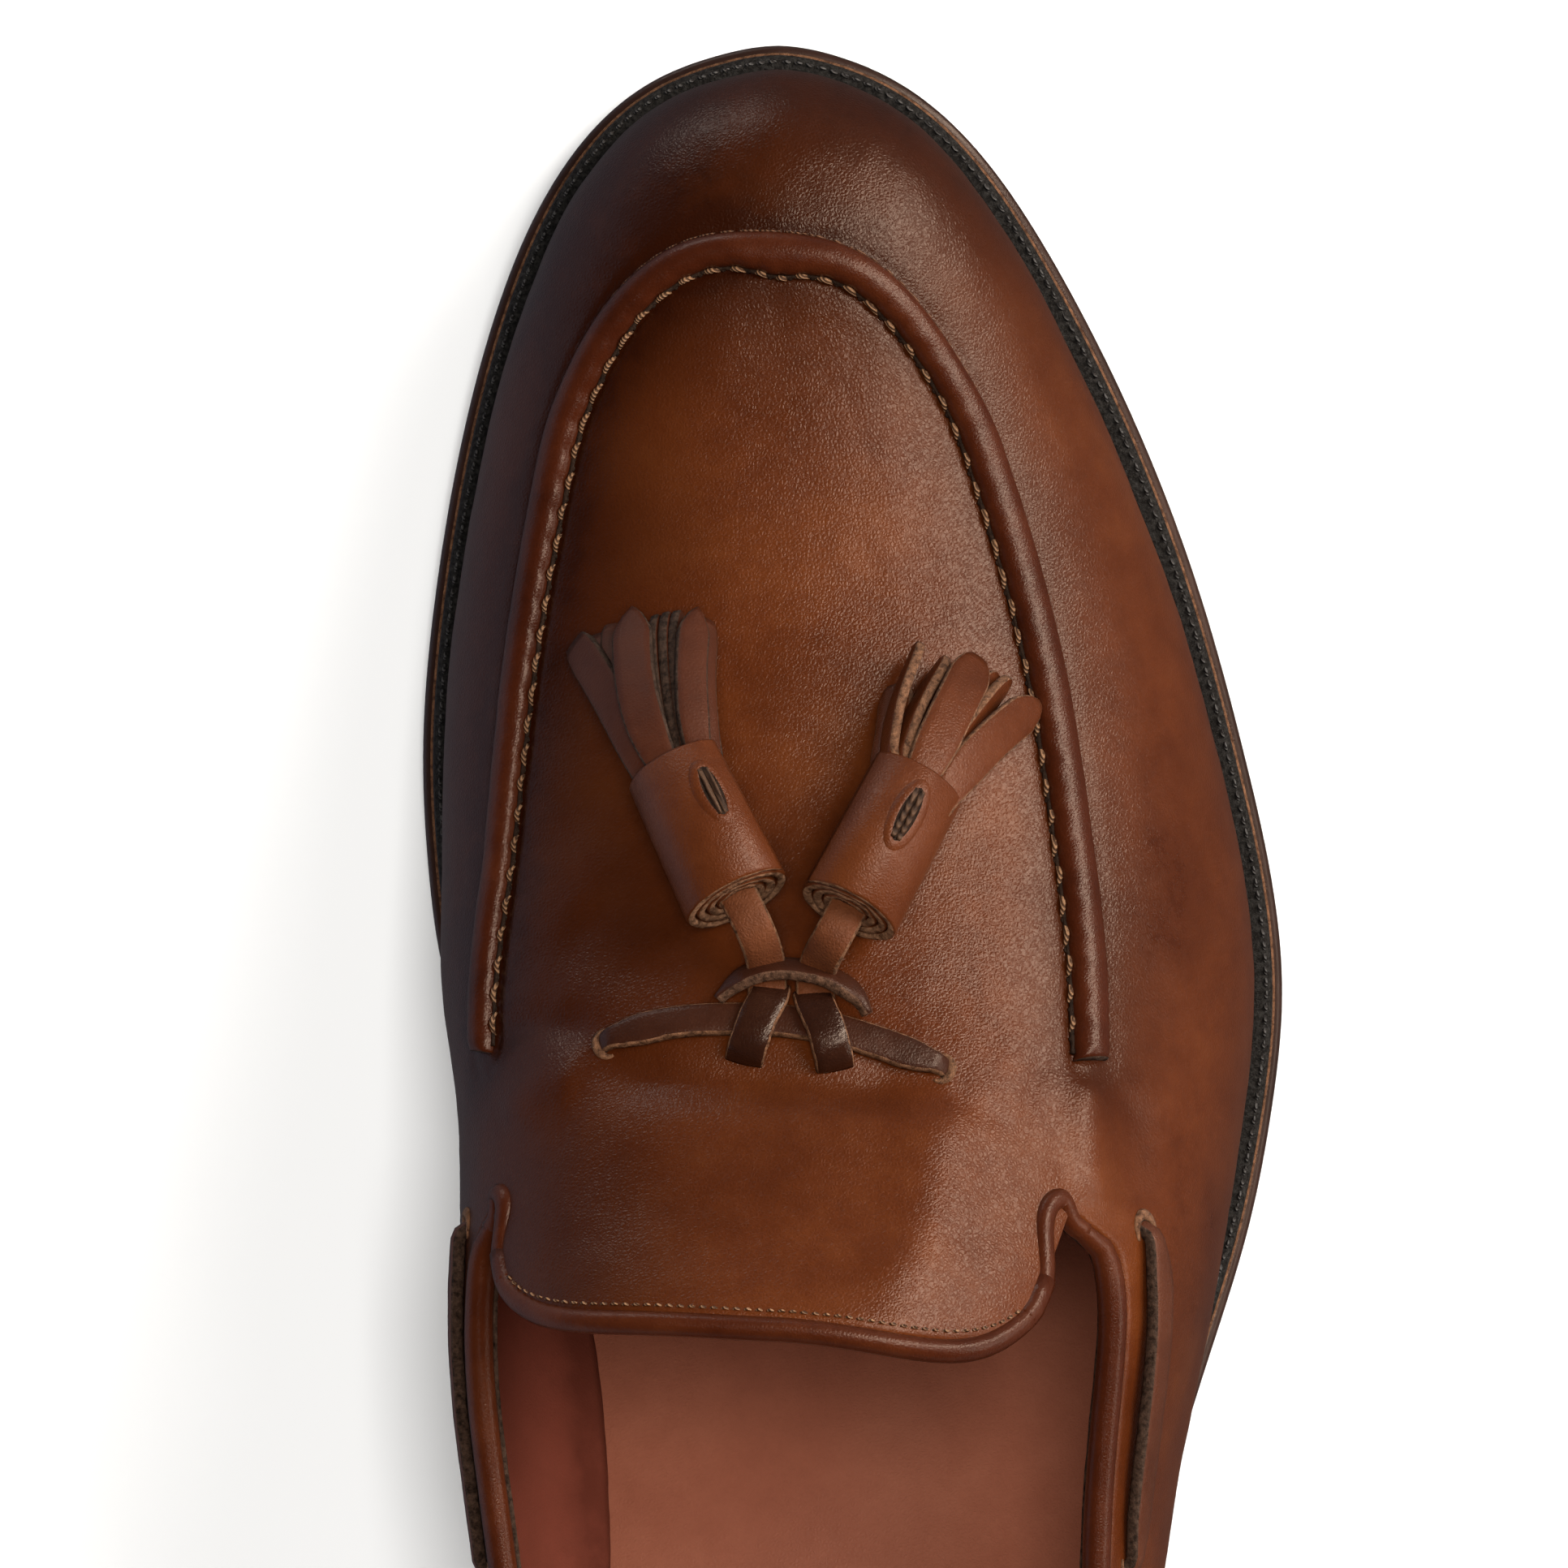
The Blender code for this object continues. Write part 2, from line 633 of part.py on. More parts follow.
def build_upper(collection, colours):
    """The upper: toe and vamp, two quarters joined round the heel, and the tongue, as one wall."""
    lower, middle, crown = (0.0, 0.35, 0.7), 5, 6
    shell = bmesh.new()

    def column(side, station, top, over_ridge):
        rises = list(lower) + [1 + (top - 1) * i / middle for i in range(middle + 1)]
        if over_ridge:
            rises += [top + (2 - top) * i / crown for i in range(1, crown + 1)]
        return [upper_point(side, station, rise) for rise in rises]

    notches = {side: wall_top(side, NOTCH_STATION) for side in (-1, 1)}
    toe_rise = sum(notches.values()) / 2
    for side, notch in notches.items():
        vamp = []
        for station in sole_stations(NOTCH_STATION, 2, 11)[:-1] + sole_stations(2, 3, 12):
            toward_toe = (station - NOTCH_STATION) / (3 - NOTCH_STATION)
            vamp.append(column(side, station, notch + (toe_rise - notch) * toward_toe, True))
        add_grid(shell, vamp)
        steps = sole_stations(0, 1, 9)[:-1] + sole_stations(1, NOTCH_STATION - 0.09, 9)
        steps += [NOTCH_STATION - 0.06, NOTCH_STATION - 0.03, NOTCH_STATION - 0.012, NOTCH_STATION]
        add_grid(shell, [column(side, station, wall_top(side, station), False) for station in steps])
    spread = [i / crown for i in range(-crown, crown + 1)]
    add_grid(shell, [[tongue_point(c, share) for c in spread] for share in (0, 0.33, 0.67, 1)])

    bmesh.ops.remove_doubles(shell, verts=shell.verts, dist=0.0001)
    bmesh.ops.recalc_face_normals(shell, faces=shell.faces)
    crest = max(shell.faces, key=lambda face: face.calc_center_median().z)
    if crest.normal.z < 0:
        bmesh.ops.reverse_faces(shell, faces=shell.faces)
    upper = add_mesh("upper", shell, colours["burnished_leather"], collection)
    wall = upper.modifiers.new("wall", "SOLIDIFY")
    wall.thickness = UPPER_WALL
    wall.offset = -1.0
    return upper


def strip(name, path, width, height, surface, collection, gap=PART_GAP):
    """A raised strip that follows the upper: path holds (side, station, rise) along its middle."""
    upper_rows, lower_rows = [], []
    for side, station, rise in path:
        step = 0.01
        speed = (upper_point(side, station, rise + step) - upper_point(side, station, rise - step)).length
        tops, feet = [], []
        for across, lift in STRIP_PROFILE:
            place = rise + across * width * 2 * step / speed
            point = upper_point(side, station, place)
            normal = upper_normal(side, station, place)
            feet.append(point + normal * gap)
            tops.append(point + normal * (gap + height * lift))
        upper_rows.append(tops)
        lower_rows.append(feet)
    return slab(name, upper_rows, lower_rows, surface, collection, smooth=True)


def apron_rise(side, station):
    """The rise of the roll's middle, from its share of the way from ridge to widest point."""
    full = section(side, station)[4]
    return 1 + math.acos(APRON[side](station) ** (full / 2)) / (math.pi / 2)


def lace_rise(side, station):
    """The rise of the lace that runs below the top line."""
    return rise_at_height(side, station, collar_height(side, station) - LACE_DROP)


def bead(name, points, radius, surface, collection):
    """A round bead along a line of points."""
    curve = bpy.data.curves.new(name, "CURVE")
    curve.dimensions = "3D"
    line = curve.splines.new("POLY")
    line.points.add(len(points) - 1)
    for target, point in zip(line.points, points):
        target.co = (*point, 1.0)
    curve.bevel_depth = radius
    curve.bevel_resolution = 1
    curve.use_fill_caps = True
    curve.materials.append(surface)
    piece = bpy.data.objects.new(name, curve)
    collection.objects.link(piece)
    return piece


def build_overlays(collection, colours):
    """The apron's roll, the collar's and tongue's bound edges, and the lace along the sides."""
    stations = sole_stations(APRON_LINE[0][0], 3, 20)
    path = [(-1, station, apron_rise(-1, station)) for station in stations]
    path += [(1, station, apron_rise(1, station)) for station in reversed(stations[:-1])]
    roll = colours["polished_brown"]
    strip("apron_roll", path, APRON_ROLL_WIDTH, APRON_ROLL_HEIGHT, roll, collection)

    radius = COLLAR_ROLL_DIAMETER / 2
    stations = sole_stations(0, NOTCH_STATION - NOTCH_SLOPE, 30)
    line = [(-1, station) for station in reversed(stations)] + [(1, station) for station in stations[1:]]
    points = []
    for side, station in line:
        top = wall_top(side, station)
        rim = upper_point(side, station, top)
        upward = (rim - upper_point(side, station, top - 0.05)).normalized()
        middle = rim - upper_normal(side, station, top) * UPPER_WALL / 2
        points.append(middle + upward * (radius + PART_GAP))
    bead("collar_binding", points, radius, colours["polished_brown"], collection)

    radius = TONGUE_BEAD_DIAMETER / 2
    points = []
    for i in range(-TONGUE_BEAD_STEPS, TONGUE_BEAD_STEPS + 1):
        across = TONGUE_BEAD_REACH * i / TONGUE_BEAD_STEPS
        rim = tongue_point(across, 1.0)
        outward = (rim - tongue_point(across * 0.98, 0.9)).normalized()
        middle = rim - tongue_point(across, 1.0, upper_normal) * UPPER_WALL / 2
        points.append(middle + outward * (radius + PART_GAP))
    bead("tongue_binding", points, radius, colours["polished_brown"], collection)

    first, last = station_at(SIDE_LACE_BACK), station_at(SIDE_LACE_FRONT)
    stations = sole_stations(first, last, 9)
    lace = colours["lace_leather"]
    for side, name in ((-1, "lace_side_medial"), (1, "lace_side_lateral")):
        path = [(side, station, lace_rise(side, station)) for station in stations]
        strip(name, path, LACE_WIDTH, LACE_THICKNESS, lace, collection)
    stations = sole_stations(0, station_at(HEEL_LACE_FRONT), 12)
    path = [(-1, station, lace_rise(-1, station)) for station in reversed(stations)]
    path += [(1, station, lace_rise(1, station)) for station in stations[1:]]
    strip("lace_heel", path, LACE_WIDTH, LACE_THICKNESS, lace, collection)


def upper_tree():
    """The vamp and tongue as a tree on which points are dropped from above."""
    mesh_data = bmesh.new()
    for side in (-1, 1):
        rises = [1 + i / 24 for i in range(25)]
        stations = sole_stations(1.3, 3, 60)
        add_grid(mesh_data, [[upper_point(side, station, rise) for rise in rises] for station in stations])
    tree = BVHTree.FromBMesh(mesh_data)
    mesh_data.free()
    return tree


def drop(tree, x, y):
    """Height of the vamp below a plan point."""
    return tree.ray_cast(Vector((x, y, 1.0)), Vector((0, 0, -1)))[0].z


def draped(name, tree, path, surface, collection, thickness=LACE_THICKNESS):
    """A strap over the vamp: path holds (x, y, lift above the vamp, width)."""
    upper_rows, lower_rows = [], []
    for i, (x, y, lift, width) in enumerate(path):
        before, after = path[max(i - 1, 0)], path[min(i + 1, len(path) - 1)]
        heading = Vector((after[0] - before[0], after[1] - before[1])).normalized()
        across = Vector((heading.y, -heading.x)) * width / 2
        feet = []
        for share in (-1.0, 0.0, 1.0):
            place = Vector((x, y)) + across * share
            feet.append(Vector((place.x, place.y, drop(tree, place.x, place.y) + lift)))
        lower_rows.append(feet)
        upper_rows.append([foot + Vector((0, 0, thickness)) for foot in feet])
    return slab(name, upper_rows, lower_rows, surface, collection)


def fuse(piece, parts, fusing):
    """Join overlapping parts into one solid."""
    group = bpy.data.collections.new(piece.name + "_parts")
    fusing.children.link(group)
    for part in parts:
        for home in list(part.users_collection):
            home.objects.unlink(part)
        group.objects.link(part)
        part.hide_render = True
        part.display_type = "WIRE"
    union = piece.modifiers.new("fused", "BOOLEAN")
    union.operation = "UNION"
    union.operand_type = "COLLECTION"
    union.collection = group
    union.solver = "EXACT"


def plan_place(across, along):
    """A plan point from shares of the ball width and the sole's length."""
    return Vector((across * BALL_WIDTH, (along - 0.5) * SHOE_LENGTH))


def heading(degrees):
    """The plan direction that leans from the toe direction towards the outer side."""
    return Vector((math.sin(math.radians(degrees)), math.cos(math.radians(degrees))))


def build_tassel(row, tree, collection, fusing, surface):
    """A rolled head with a fanned fringe. Returns the middle of the head's near end."""
    name, across, along, lean, fringe_lean, fringe_reach = row
    start = plan_place(across, along)
    radius = TASSEL_HEAD_DIAMETER / 2
    axis = heading(lean)
    needed = []
    for share in (0, 0.25, 0.5, 0.75, 1):
        place = start + axis * TASSEL_HEAD_LENGTH * share
        needed.append(drop(tree, place.x, place.y))
    chord = [needed[0] + (needed[-1] - needed[0]) * share for share in (0, 0.25, 0.5, 0.75, 1)]
    lift = radius * TASSEL_SEAT + max(need - level for need, level in zip(needed, chord))
    near = start.to_3d() + Vector((0, 0, needed[0] + lift))
    far = (start + axis * TASSEL_HEAD_LENGTH).to_3d() + Vector((0, 0, needed[-1] + lift))

    head_data = bmesh.new()
    bmesh.ops.create_cone(
        head_data,
        cap_ends=True,
        segments=24,
        radius1=radius,
        radius2=radius * HEAD_NARROWING,
        depth=(far - near).length,
    )
    head = add_mesh(name, head_data, surface, collection)
    head.rotation_mode = "QUATERNION"
    head.rotation_quaternion = (far - near).to_track_quat("Z", "Y")
    head.location = (near + far) / 2

    strips = []
    for number, (turn, layer) in enumerate(FRINGE):
        forward = heading(fringe_lean + turn)
        spread = heading(lean + 90) * turn / FRINGE_TURN
        root = far.to_2d() + (spread - axis) * radius * STRIP_ROOT
        reach = TASSEL_STRIP_LENGTH * fringe_reach + radius * STRIP_ROOT
        path = []
        for share, width in FRINGE_TAPER:
            place = root + forward * reach * share
            ground = drop(tree, place.x, place.y)
            rest = PART_GAP + layer * (TASSEL_STRIP_THICKNESS + FRINGE_LAYER_GAP)
            head_level = far.z - ground + (layer * STRIP_LAYER_RISE - STRIP_LEVEL) * radius
            level = head_level + (rest - head_level) * ease(share / STRIP_SETTLED)
            path.append((place.x, place.y, level, TASSEL_STRIP_WIDTH * width))
        part_name = f"{name}_strip_{number}"
        strips.append(draped(part_name, tree, path, surface, fusing, TASSEL_STRIP_THICKNESS))
    fuse(head, strips, fusing)
    return near, axis


def build_lace_and_tassels(collection, fusing, colours):
    """The lace across the vamp, its knot with two short ends, and a tassel at each end."""
    tree = upper_tree()
    lace = colours["lace_leather"]
    across, along = zip(*LACE_BAR)
    course = spline(across, along)
    count = 14
    path = []
    for i in range(count + 1):
        place = across[0] + (across[-1] - across[0]) * i / count
        point = plan_place(place, course(place))
        path.append((point.x, point.y, PART_GAP, LACE_WIDTH))
    draped("lace_bar", tree, path, lace, collection)

    ends = []
    for row in TASSELS:
        ends.append(build_tassel(row, tree, collection, fusing, colours["burnished_leather"]))

    middle = plan_place(KNOT_ACROSS, KNOT_ALONG)
    over_bar = LACE_THICKNESS + 2 * PART_GAP
    half = LACE_WIDTH / 2
    loop_path = []
    for share, forward, lift in KNOT_LOOP:
        x = middle.x + share * KNOT_SPACING
        y = middle.y + forward * LACE_WIDTH
        loop_path.append((x, y, over_bar * lift, LACE_WIDTH * KNOT_LOOP_WIDTH))
    knot = draped("lace_knot", tree, loop_path, lace, collection)
    parts = []
    for number, side in enumerate((-1, 1)):
        x = middle.x + side * KNOT_SPACING / 2
        path = []
        for forward, lift in KNOT_WRAP:
            path.append((x, middle.y + forward * half, over_bar * lift, LACE_WIDTH))
        parts.append(draped(f"knot_wrap_{number}", tree, path, lace, fusing))
        near, axis = ends[number]
        tip = near.to_2d() - axis * STRAP_CLEARANCE
        before = tip - axis * half
        root_x = middle.x + side * KNOT_SPACING * KNOT_END_ACROSS
        root = Vector((root_x, middle.y + LACE_WIDTH * KNOT_END_FORWARD))
        root_level = over_bar * KNOT_END_LEVEL
        tip_level = near.z - LACE_THICKNESS / 2 - drop(tree, tip.x, tip.y)
        path = [(root.x, root.y, root_level, LACE_WIDTH)]
        for place, share in ((root.lerp(before, 0.5), 0.5), (before, 0.9), (tip, 1.0)):
            path.append((place.x, place.y, root_level + (tip_level - root_level) * share, LACE_WIDTH))
        parts.append(draped(f"knot_end_{number}", tree, path, lace, fusing))
    fuse(knot, parts, fusing)


# Leathers: colour and roughness
LEATHERS = {
    "burnished_leather": ((0.135, 0.042, 0.018), 0.42),
    "polished_brown": ((0.075, 0.018, 0.008), 0.28),
    "lace_leather": ((0.060, 0.020, 0.010), 0.40),
    "insole_tan": ((0.220, 0.110, 0.075), 0.70),
    "sole_leather": ((0.030, 0.018, 0.013), 0.50),
    "edge_black": ((0.012, 0.009, 0.008), 0.45),
    "rubber_black": ((0.018, 0.018, 0.018), 0.75),
}


def centre_on_sole(collection, fusing):
    """Stand the shoe with the middle of the sole's width over the origin."""
    widths = [plan[:, 0] for _, plan, _ in EDGES.values()]
    middle = (min(width.min() for width in widths) + max(width.max() for width in widths)) / 2
    axis = bpy.data.objects.new("shoe_axis", None)
    axis.location = (-middle, 0.0, 0.0)
    collection.objects.link(axis)
    for piece in list(collection.all_objects) + list(fusing.all_objects):
        if piece != axis:
            piece.parent = axis


def main():
    """Clear the scene and build the shoe."""
    for old in list(bpy.data.objects):
        bpy.data.objects.remove(old)
    collection = bpy.data.collections.new("tassel_loafer")
    bpy.context.scene.collection.children.link(collection)
    fusing = bpy.data.collections.new("fusing")
    fusing.hide_render = True
    bpy.context.scene.collection.children.link(fusing)
    colours = {name: material(name, *look) for name, look in LEATHERS.items()}
    build_sole(collection, colours)
    build_upper(collection, colours)
    build_overlays(collection, colours)
    build_lace_and_tassels(collection, fusing, colours)
    centre_on_sole(collection, fusing)


main()
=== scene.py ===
import math

import bmesh
import bpy
import numpy as np
from mathutils import Matrix, Vector, noise
from mathutils.bvhtree import BVHTree


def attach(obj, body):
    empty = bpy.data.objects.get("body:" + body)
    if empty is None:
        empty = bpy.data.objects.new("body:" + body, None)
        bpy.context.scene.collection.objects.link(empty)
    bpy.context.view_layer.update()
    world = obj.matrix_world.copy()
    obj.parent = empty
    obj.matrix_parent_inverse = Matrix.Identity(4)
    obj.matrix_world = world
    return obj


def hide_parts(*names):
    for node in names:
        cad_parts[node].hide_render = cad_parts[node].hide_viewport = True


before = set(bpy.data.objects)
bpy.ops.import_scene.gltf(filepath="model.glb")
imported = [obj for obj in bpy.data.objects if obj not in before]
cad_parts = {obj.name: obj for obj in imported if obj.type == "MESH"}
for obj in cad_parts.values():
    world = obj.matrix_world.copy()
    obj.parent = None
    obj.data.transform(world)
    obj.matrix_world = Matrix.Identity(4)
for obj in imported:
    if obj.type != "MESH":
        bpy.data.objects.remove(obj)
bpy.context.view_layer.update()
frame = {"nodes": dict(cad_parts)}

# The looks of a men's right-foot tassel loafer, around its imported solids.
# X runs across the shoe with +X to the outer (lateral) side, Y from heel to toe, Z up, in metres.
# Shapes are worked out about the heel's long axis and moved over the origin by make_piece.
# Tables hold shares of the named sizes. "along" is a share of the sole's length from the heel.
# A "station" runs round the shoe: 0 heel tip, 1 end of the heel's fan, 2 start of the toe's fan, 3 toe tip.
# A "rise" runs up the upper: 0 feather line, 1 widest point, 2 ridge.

# Driving sizes
SHOE_LENGTH = 0.2950
BALL_WIDTH = 0.1078
INSTEP_HEIGHT = 0.076
HEEL_HEIGHT = 0.022
TOE_SPRING = 0.008
OUTSOLE_THICKNESS = 0.005
WELT_THICKNESS = 0.003
INSOLE_THICKNESS = 0.0056
TOP_LIFT_THICKNESS = 0.006
UPPER_WALL = 0.0022
WELT_REACH = 0.0044
OUTSOLE_LIP = 0.0013
ARCH_OVERHANG = 0.015
PART_GAP = 0.0003
HEEL_BREAST_HOLLOW = 0.004
APRON_ROLL_WIDTH = 0.0048
APRON_ROLL_HEIGHT = 0.0019
COLLAR_ROLL_DIAMETER = 0.0032
LACE_WIDTH = 0.0046
LACE_THICKNESS = 0.0015
LACE_DROP = 0.0088
WELT_SEAT = 0.0032
HEEL_INSET = 0.0004
HEEL_TAPER = 0.0012
TONGUE_LENGTH = 0.0155
TONGUE_SKEW = 0.0030
TONGUE_BOW = 0.0030
TASSEL_HEAD_DIAMETER = 0.0124
TASSEL_HEAD_LENGTH = 0.0178
TASSEL_STRIP_THICKNESS = 0.0013

# Places along the sole, as shares of its length from the heel
HEEL_FAN_START = 0.14
TOE_FAN_START = 0.84
HEEL_FAN_DEPTH = 0.035
TOE_FAN_DEPTH = 0.045
SEAT_END = 0.20
HEEL_BREAST = 0.262
FLAT_START = 0.60
FLAT_END = 0.70
NOTCH = 0.514
NOTCH_SLOPE = 0.030
TONGUE_TAPER = 0.10
TONGUE_SQUARENESS = 4
TASSEL_SEAT = 1.16
EDGE_NUDGE = 0.0001
SIDE_LACE_FRONT = 0.506
SIDE_LACE_BACK = 0.362
HEEL_LACE_FRONT = 0.305

# The sole's edge: shares of the ball width from the long axis
SOLE_EDGE = (
    # along, medial, lateral
    (0.000, 0.004, 0.004),
    (0.017, -0.156, 0.163),
    (0.054, -0.256, 0.265),
    (0.108, -0.304, 0.314),
    (0.170, -0.309, 0.325),
    (0.250, -0.290, 0.337),
    (0.320, -0.276, 0.358),
    (0.390, -0.275, 0.394),
    (0.450, -0.292, 0.444),
    (0.500, -0.327, 0.487),
    (0.550, -0.376, 0.515),
    (0.600, -0.436, 0.528),
    (0.650, -0.460, 0.515),
    (0.700, -0.467, 0.485),
    (0.770, -0.452, 0.432),
    (0.840, -0.418, 0.359),
    (0.890, -0.380, 0.292),
    (0.920, -0.348, 0.245),
    (0.955, -0.292, 0.177),
    (0.972, -0.250, 0.131),
    (0.986, -0.196, 0.076),
    (0.996, -0.124, 0.009),
    (1.000, -0.055, -0.055),
)

# How the upper's wall stands on that edge, on the medial (m) and lateral (l) side.
# welt: shares of WELT_REACH; bulge: shares of ARCH_OVERHANG, out from the feather line;
# wide: height of the widest point, a share of INSTEP_HEIGHT; full: 2 is an ellipse, 3 is squarer.
WALL_SECTIONS = (
    # along, welt_m, welt_l, bulge_m, bulge_l, wide_m, wide_l, full_m, full_l
    (0.00, 0.50, 0.50, 0.06, 0.06, 0.26, 0.26, 2.40, 2.40),
    (0.10, 0.46, 0.48, 0.09, 0.09, 0.26, 0.26, 2.45, 2.35),
    (0.17, 0.42, 0.50, 0.18, 0.14, 0.27, 0.24, 2.55, 2.25),
    (0.25, 0.38, 0.52, 0.42, 0.20, 0.29, 0.21, 2.60, 2.05),
    (0.32, 0.36, 0.52, 0.74, 0.23, 0.32, 0.19, 2.60, 1.92),
    (0.39, 0.36, 0.55, 0.97, 0.19, 0.34, 0.17, 2.60, 1.88),
    (0.45, 0.40, 0.68, 1.00, 0.11, 0.35, 0.16, 2.85, 1.95),
    (0.50, 0.50, 0.88, 0.80, 0.05, 0.35, 0.15, 3.10, 2.10),
    (0.55, 0.62, 0.97, 0.52, 0.03, 0.31, 0.14, 3.00, 2.12),
    (0.60, 0.70, 1.00, 0.24, 0.03, 0.25, 0.13, 2.75, 2.10),
    (0.65, 0.76, 0.96, 0.09, 0.03, 0.20, 0.13, 2.60, 2.10),
    (0.70, 0.84, 0.92, 0.05, 0.03, 0.17, 0.12, 2.52, 2.12),
    (0.77, 0.85, 0.95, 0.04, 0.03, 0.14, 0.12, 2.45, 2.18),
    (0.84, 0.88, 0.98, 0.04, 0.03, 0.12, 0.11, 2.40, 2.24),
    (0.92, 0.91, 0.95, 0.04, 0.04, 0.11, 0.11, 2.35, 2.30),
    (1.00, 0.93, 0.93, 0.04, 0.04, 0.10, 0.10, 2.32, 2.32),
)

# The ridge of the last: across is a share of the ball width, height a share of INSTEP_HEIGHT
# above the feather line. Behind the tongue it only shapes the quarters below it.
RIDGE = (
    # along, across, height
    (0.08, 0.000, 0.955),
    (0.20, -0.012, 0.926),
    (0.30, -0.030, 0.932),
    (0.40, -0.045, 0.992),
    (0.47, -0.052, 1.000),
    (0.50, -0.053, 0.952),
    (0.55, -0.054, 0.868),
    (0.60, -0.054, 0.775),
    (0.65, -0.055, 0.690),
    (0.70, -0.055, 0.617),
    (0.77, -0.056, 0.530),
    (0.84, -0.058, 0.457),
    (0.89, -0.058, 0.412),
)

# The finished top line: heights are shares of INSTEP_HEIGHT above the feather line
COLLAR_LINE = (
    # along, medial, lateral
    (0.00, 0.742, 0.742),
    (0.05, 0.722, 0.722),
    (0.15, 0.640, 0.640),
    (0.25, 0.570, 0.580),
    (0.35, 0.592, 0.620),
    (0.45, 0.680, 0.715),
    (NOTCH, 0.745, 0.775),
)

# The raised roll round the apron: its place is a share of the way from ridge to widest point
APRON_LINE = (
    # station, medial, lateral
    (1.62, 0.885, 0.645),
    (1.75, 0.812, 0.632),
    (1.88, 0.768, 0.628),
    (2.00, 0.730, 0.592),
    (2.25, 0.610, 0.490),
    (2.50, 0.430, 0.370),
    (2.75, 0.280, 0.265),
    (3.00, 0.225, 0.225),
)

# The two tassels: where each head starts and its lean in degrees
TASSELS = (
    # name, across, along, lean
    ("tassel_medial", -0.098, 0.6415, -26),
    ("tassel_lateral", 0.020, 0.6365, 28),
)


def spline(along, values):
    """A natural cubic spline through the values, as a function."""
    along, values = np.array(along, float), np.array(values, float)
    step, count = np.diff(along), len(along)
    matrix, right = np.eye(count), np.zeros(count)
    for i in range(1, count - 1):
        matrix[i, i - 1 : i + 2] = step[i - 1], 2 * (step[i - 1] + step[i]), step[i]
        rise = (values[i + 1] - values[i]) / step[i] - (values[i] - values[i - 1]) / step[i - 1]
        right[i] = 6 * rise
    bend = np.linalg.solve(matrix, right)

    def value(x):
        """The curve's value at a place."""
        i = int(np.clip(np.searchsorted(along, x) - 1, 0, count - 2))
        a, b = (along[i + 1] - x) / step[i], (x - along[i]) / step[i]
        cubic = (a**3 - a) * bend[i] + (b**3 - b) * bend[i + 1]
        return float(a * values[i] + b * values[i + 1] + cubic * step[i] ** 2 / 6)

    return value


def columns(table):
    """One spline for each column of a table, against its first column."""
    by_column = list(zip(*table))
    return [spline(by_column[0], column) for column in by_column[1:]]


def sole_edges():
    """Each side of the sole's edge from heel to toe: arc lengths, plan points and inward normals."""
    sides = [
        [(row[column] * BALL_WIDTH, (row[0] - 0.5) * SHOE_LENGTH) for row in SOLE_EDGE]
        for column in (1, 2)
    ]
    loop = sides[0] + sides[1][-2:0:-1]
    overlap = 4
    points = np.array(loop[-overlap:] + loop + loop[: overlap + 1])
    arc = np.concatenate([[0.0], np.cumsum(np.hypot(*np.diff(points, axis=0).T))])
    curves = [spline(arc, points[:, axis]) for axis in (0, 1)]
    heel, toe = overlap, overlap + len(SOLE_EDGE) - 1
    edges = {}
    for side, start in ((-1, arc[heel]), (1, arc[heel + len(loop)])):
        steps = np.linspace(start, arc[toe], 241)
        plan = np.array([[curve(step) for curve in curves] for step in steps])
        ahead = np.array([[curve(step + EDGE_NUDGE) for curve in curves] for step in steps])
        behind = np.array([[curve(step - EDGE_NUDGE) for curve in curves] for step in steps])
        tangent = ahead - behind
        tangent /= np.hypot(*tangent.T)[:, None]
        inward = np.stack([tangent[:, 1], -tangent[:, 0]], axis=1)
        edges[side] = np.abs(steps - start), plan, inward
    return edges


EDGES = sole_edges()
WALL = columns(WALL_SECTIONS)
RIDGE_ACROSS, RIDGE_HEIGHT = columns(RIDGE)
COLLAR = dict(zip((-1, 1), columns(COLLAR_LINE)))
APRON = dict(zip((-1, 1), columns(APRON_LINE)))
NOTCH_STATION = 1 + (NOTCH - HEEL_FAN_START) / (TOE_FAN_START - HEEL_FAN_START)


def station_at(along):
    """The station of a place between the two fans."""
    return 1 + (along - HEEL_FAN_START) / (TOE_FAN_START - HEEL_FAN_START)


def arc_at(side, station):
    """The arc length of a station along one side of the sole's edge."""
    arc, plan, _ = EDGES[side]
    fan_ends = [(share - 0.5) * SHOE_LENGTH for share in (HEEL_FAN_START, TOE_FAN_START)]
    heel_arc, toe_arc = np.interp(fan_ends, plan[:, 1], arc)
    if station <= 1:
        return heel_arc * station
    if station >= 2:
        return toe_arc + (arc[-1] - toe_arc) * (station - 2)
    y = fan_ends[0] + (fan_ends[1] - fan_ends[0]) * (station - 1)
    return float(np.interp(y, plan[:, 1], arc))


def edge_point(side, arc, inset):
    """A plan point at an inset from the sole's edge."""
    arcs, plan, inward = EDGES[side]
    return Vector([np.interp(arc, arcs, plan[:, k] + inset * inward[:, k]) for k in (0, 1)])


def wall_value(column, side, along):
    """A value of WALL_SECTIONS: column 0 welt, 1 bulge, 2 wide, 3 full."""
    return WALL[2 * column + (side > 0)](min(max(along, 0.0), 1.0))


def ease(share):
    """A smooth step from 0 to 1."""
    share = min(max(share, 0.0), 1.0)
    return share * share * (3 - 2 * share)


def sole_bottom(y):
    """Height of the outsole's underside above the floor: heel seat, shank, flat tread, toe spring."""
    along = y / SHOE_LENGTH + 0.5
    if along < FLAT_START:
        return HEEL_HEIGHT * (1 - ease((along - SEAT_END) / (FLAT_START - SEAT_END)))
    spring = max(0.0, (along - FLAT_END) / (1 - FLAT_END))
    return TOE_SPRING * spring**1.8


def feather_height(y):
    """Height of the welt's top, with the gap on which the upper stands."""
    return sole_bottom(y) + OUTSOLE_THICKNESS + WELT_THICKNESS + 2 * PART_GAP


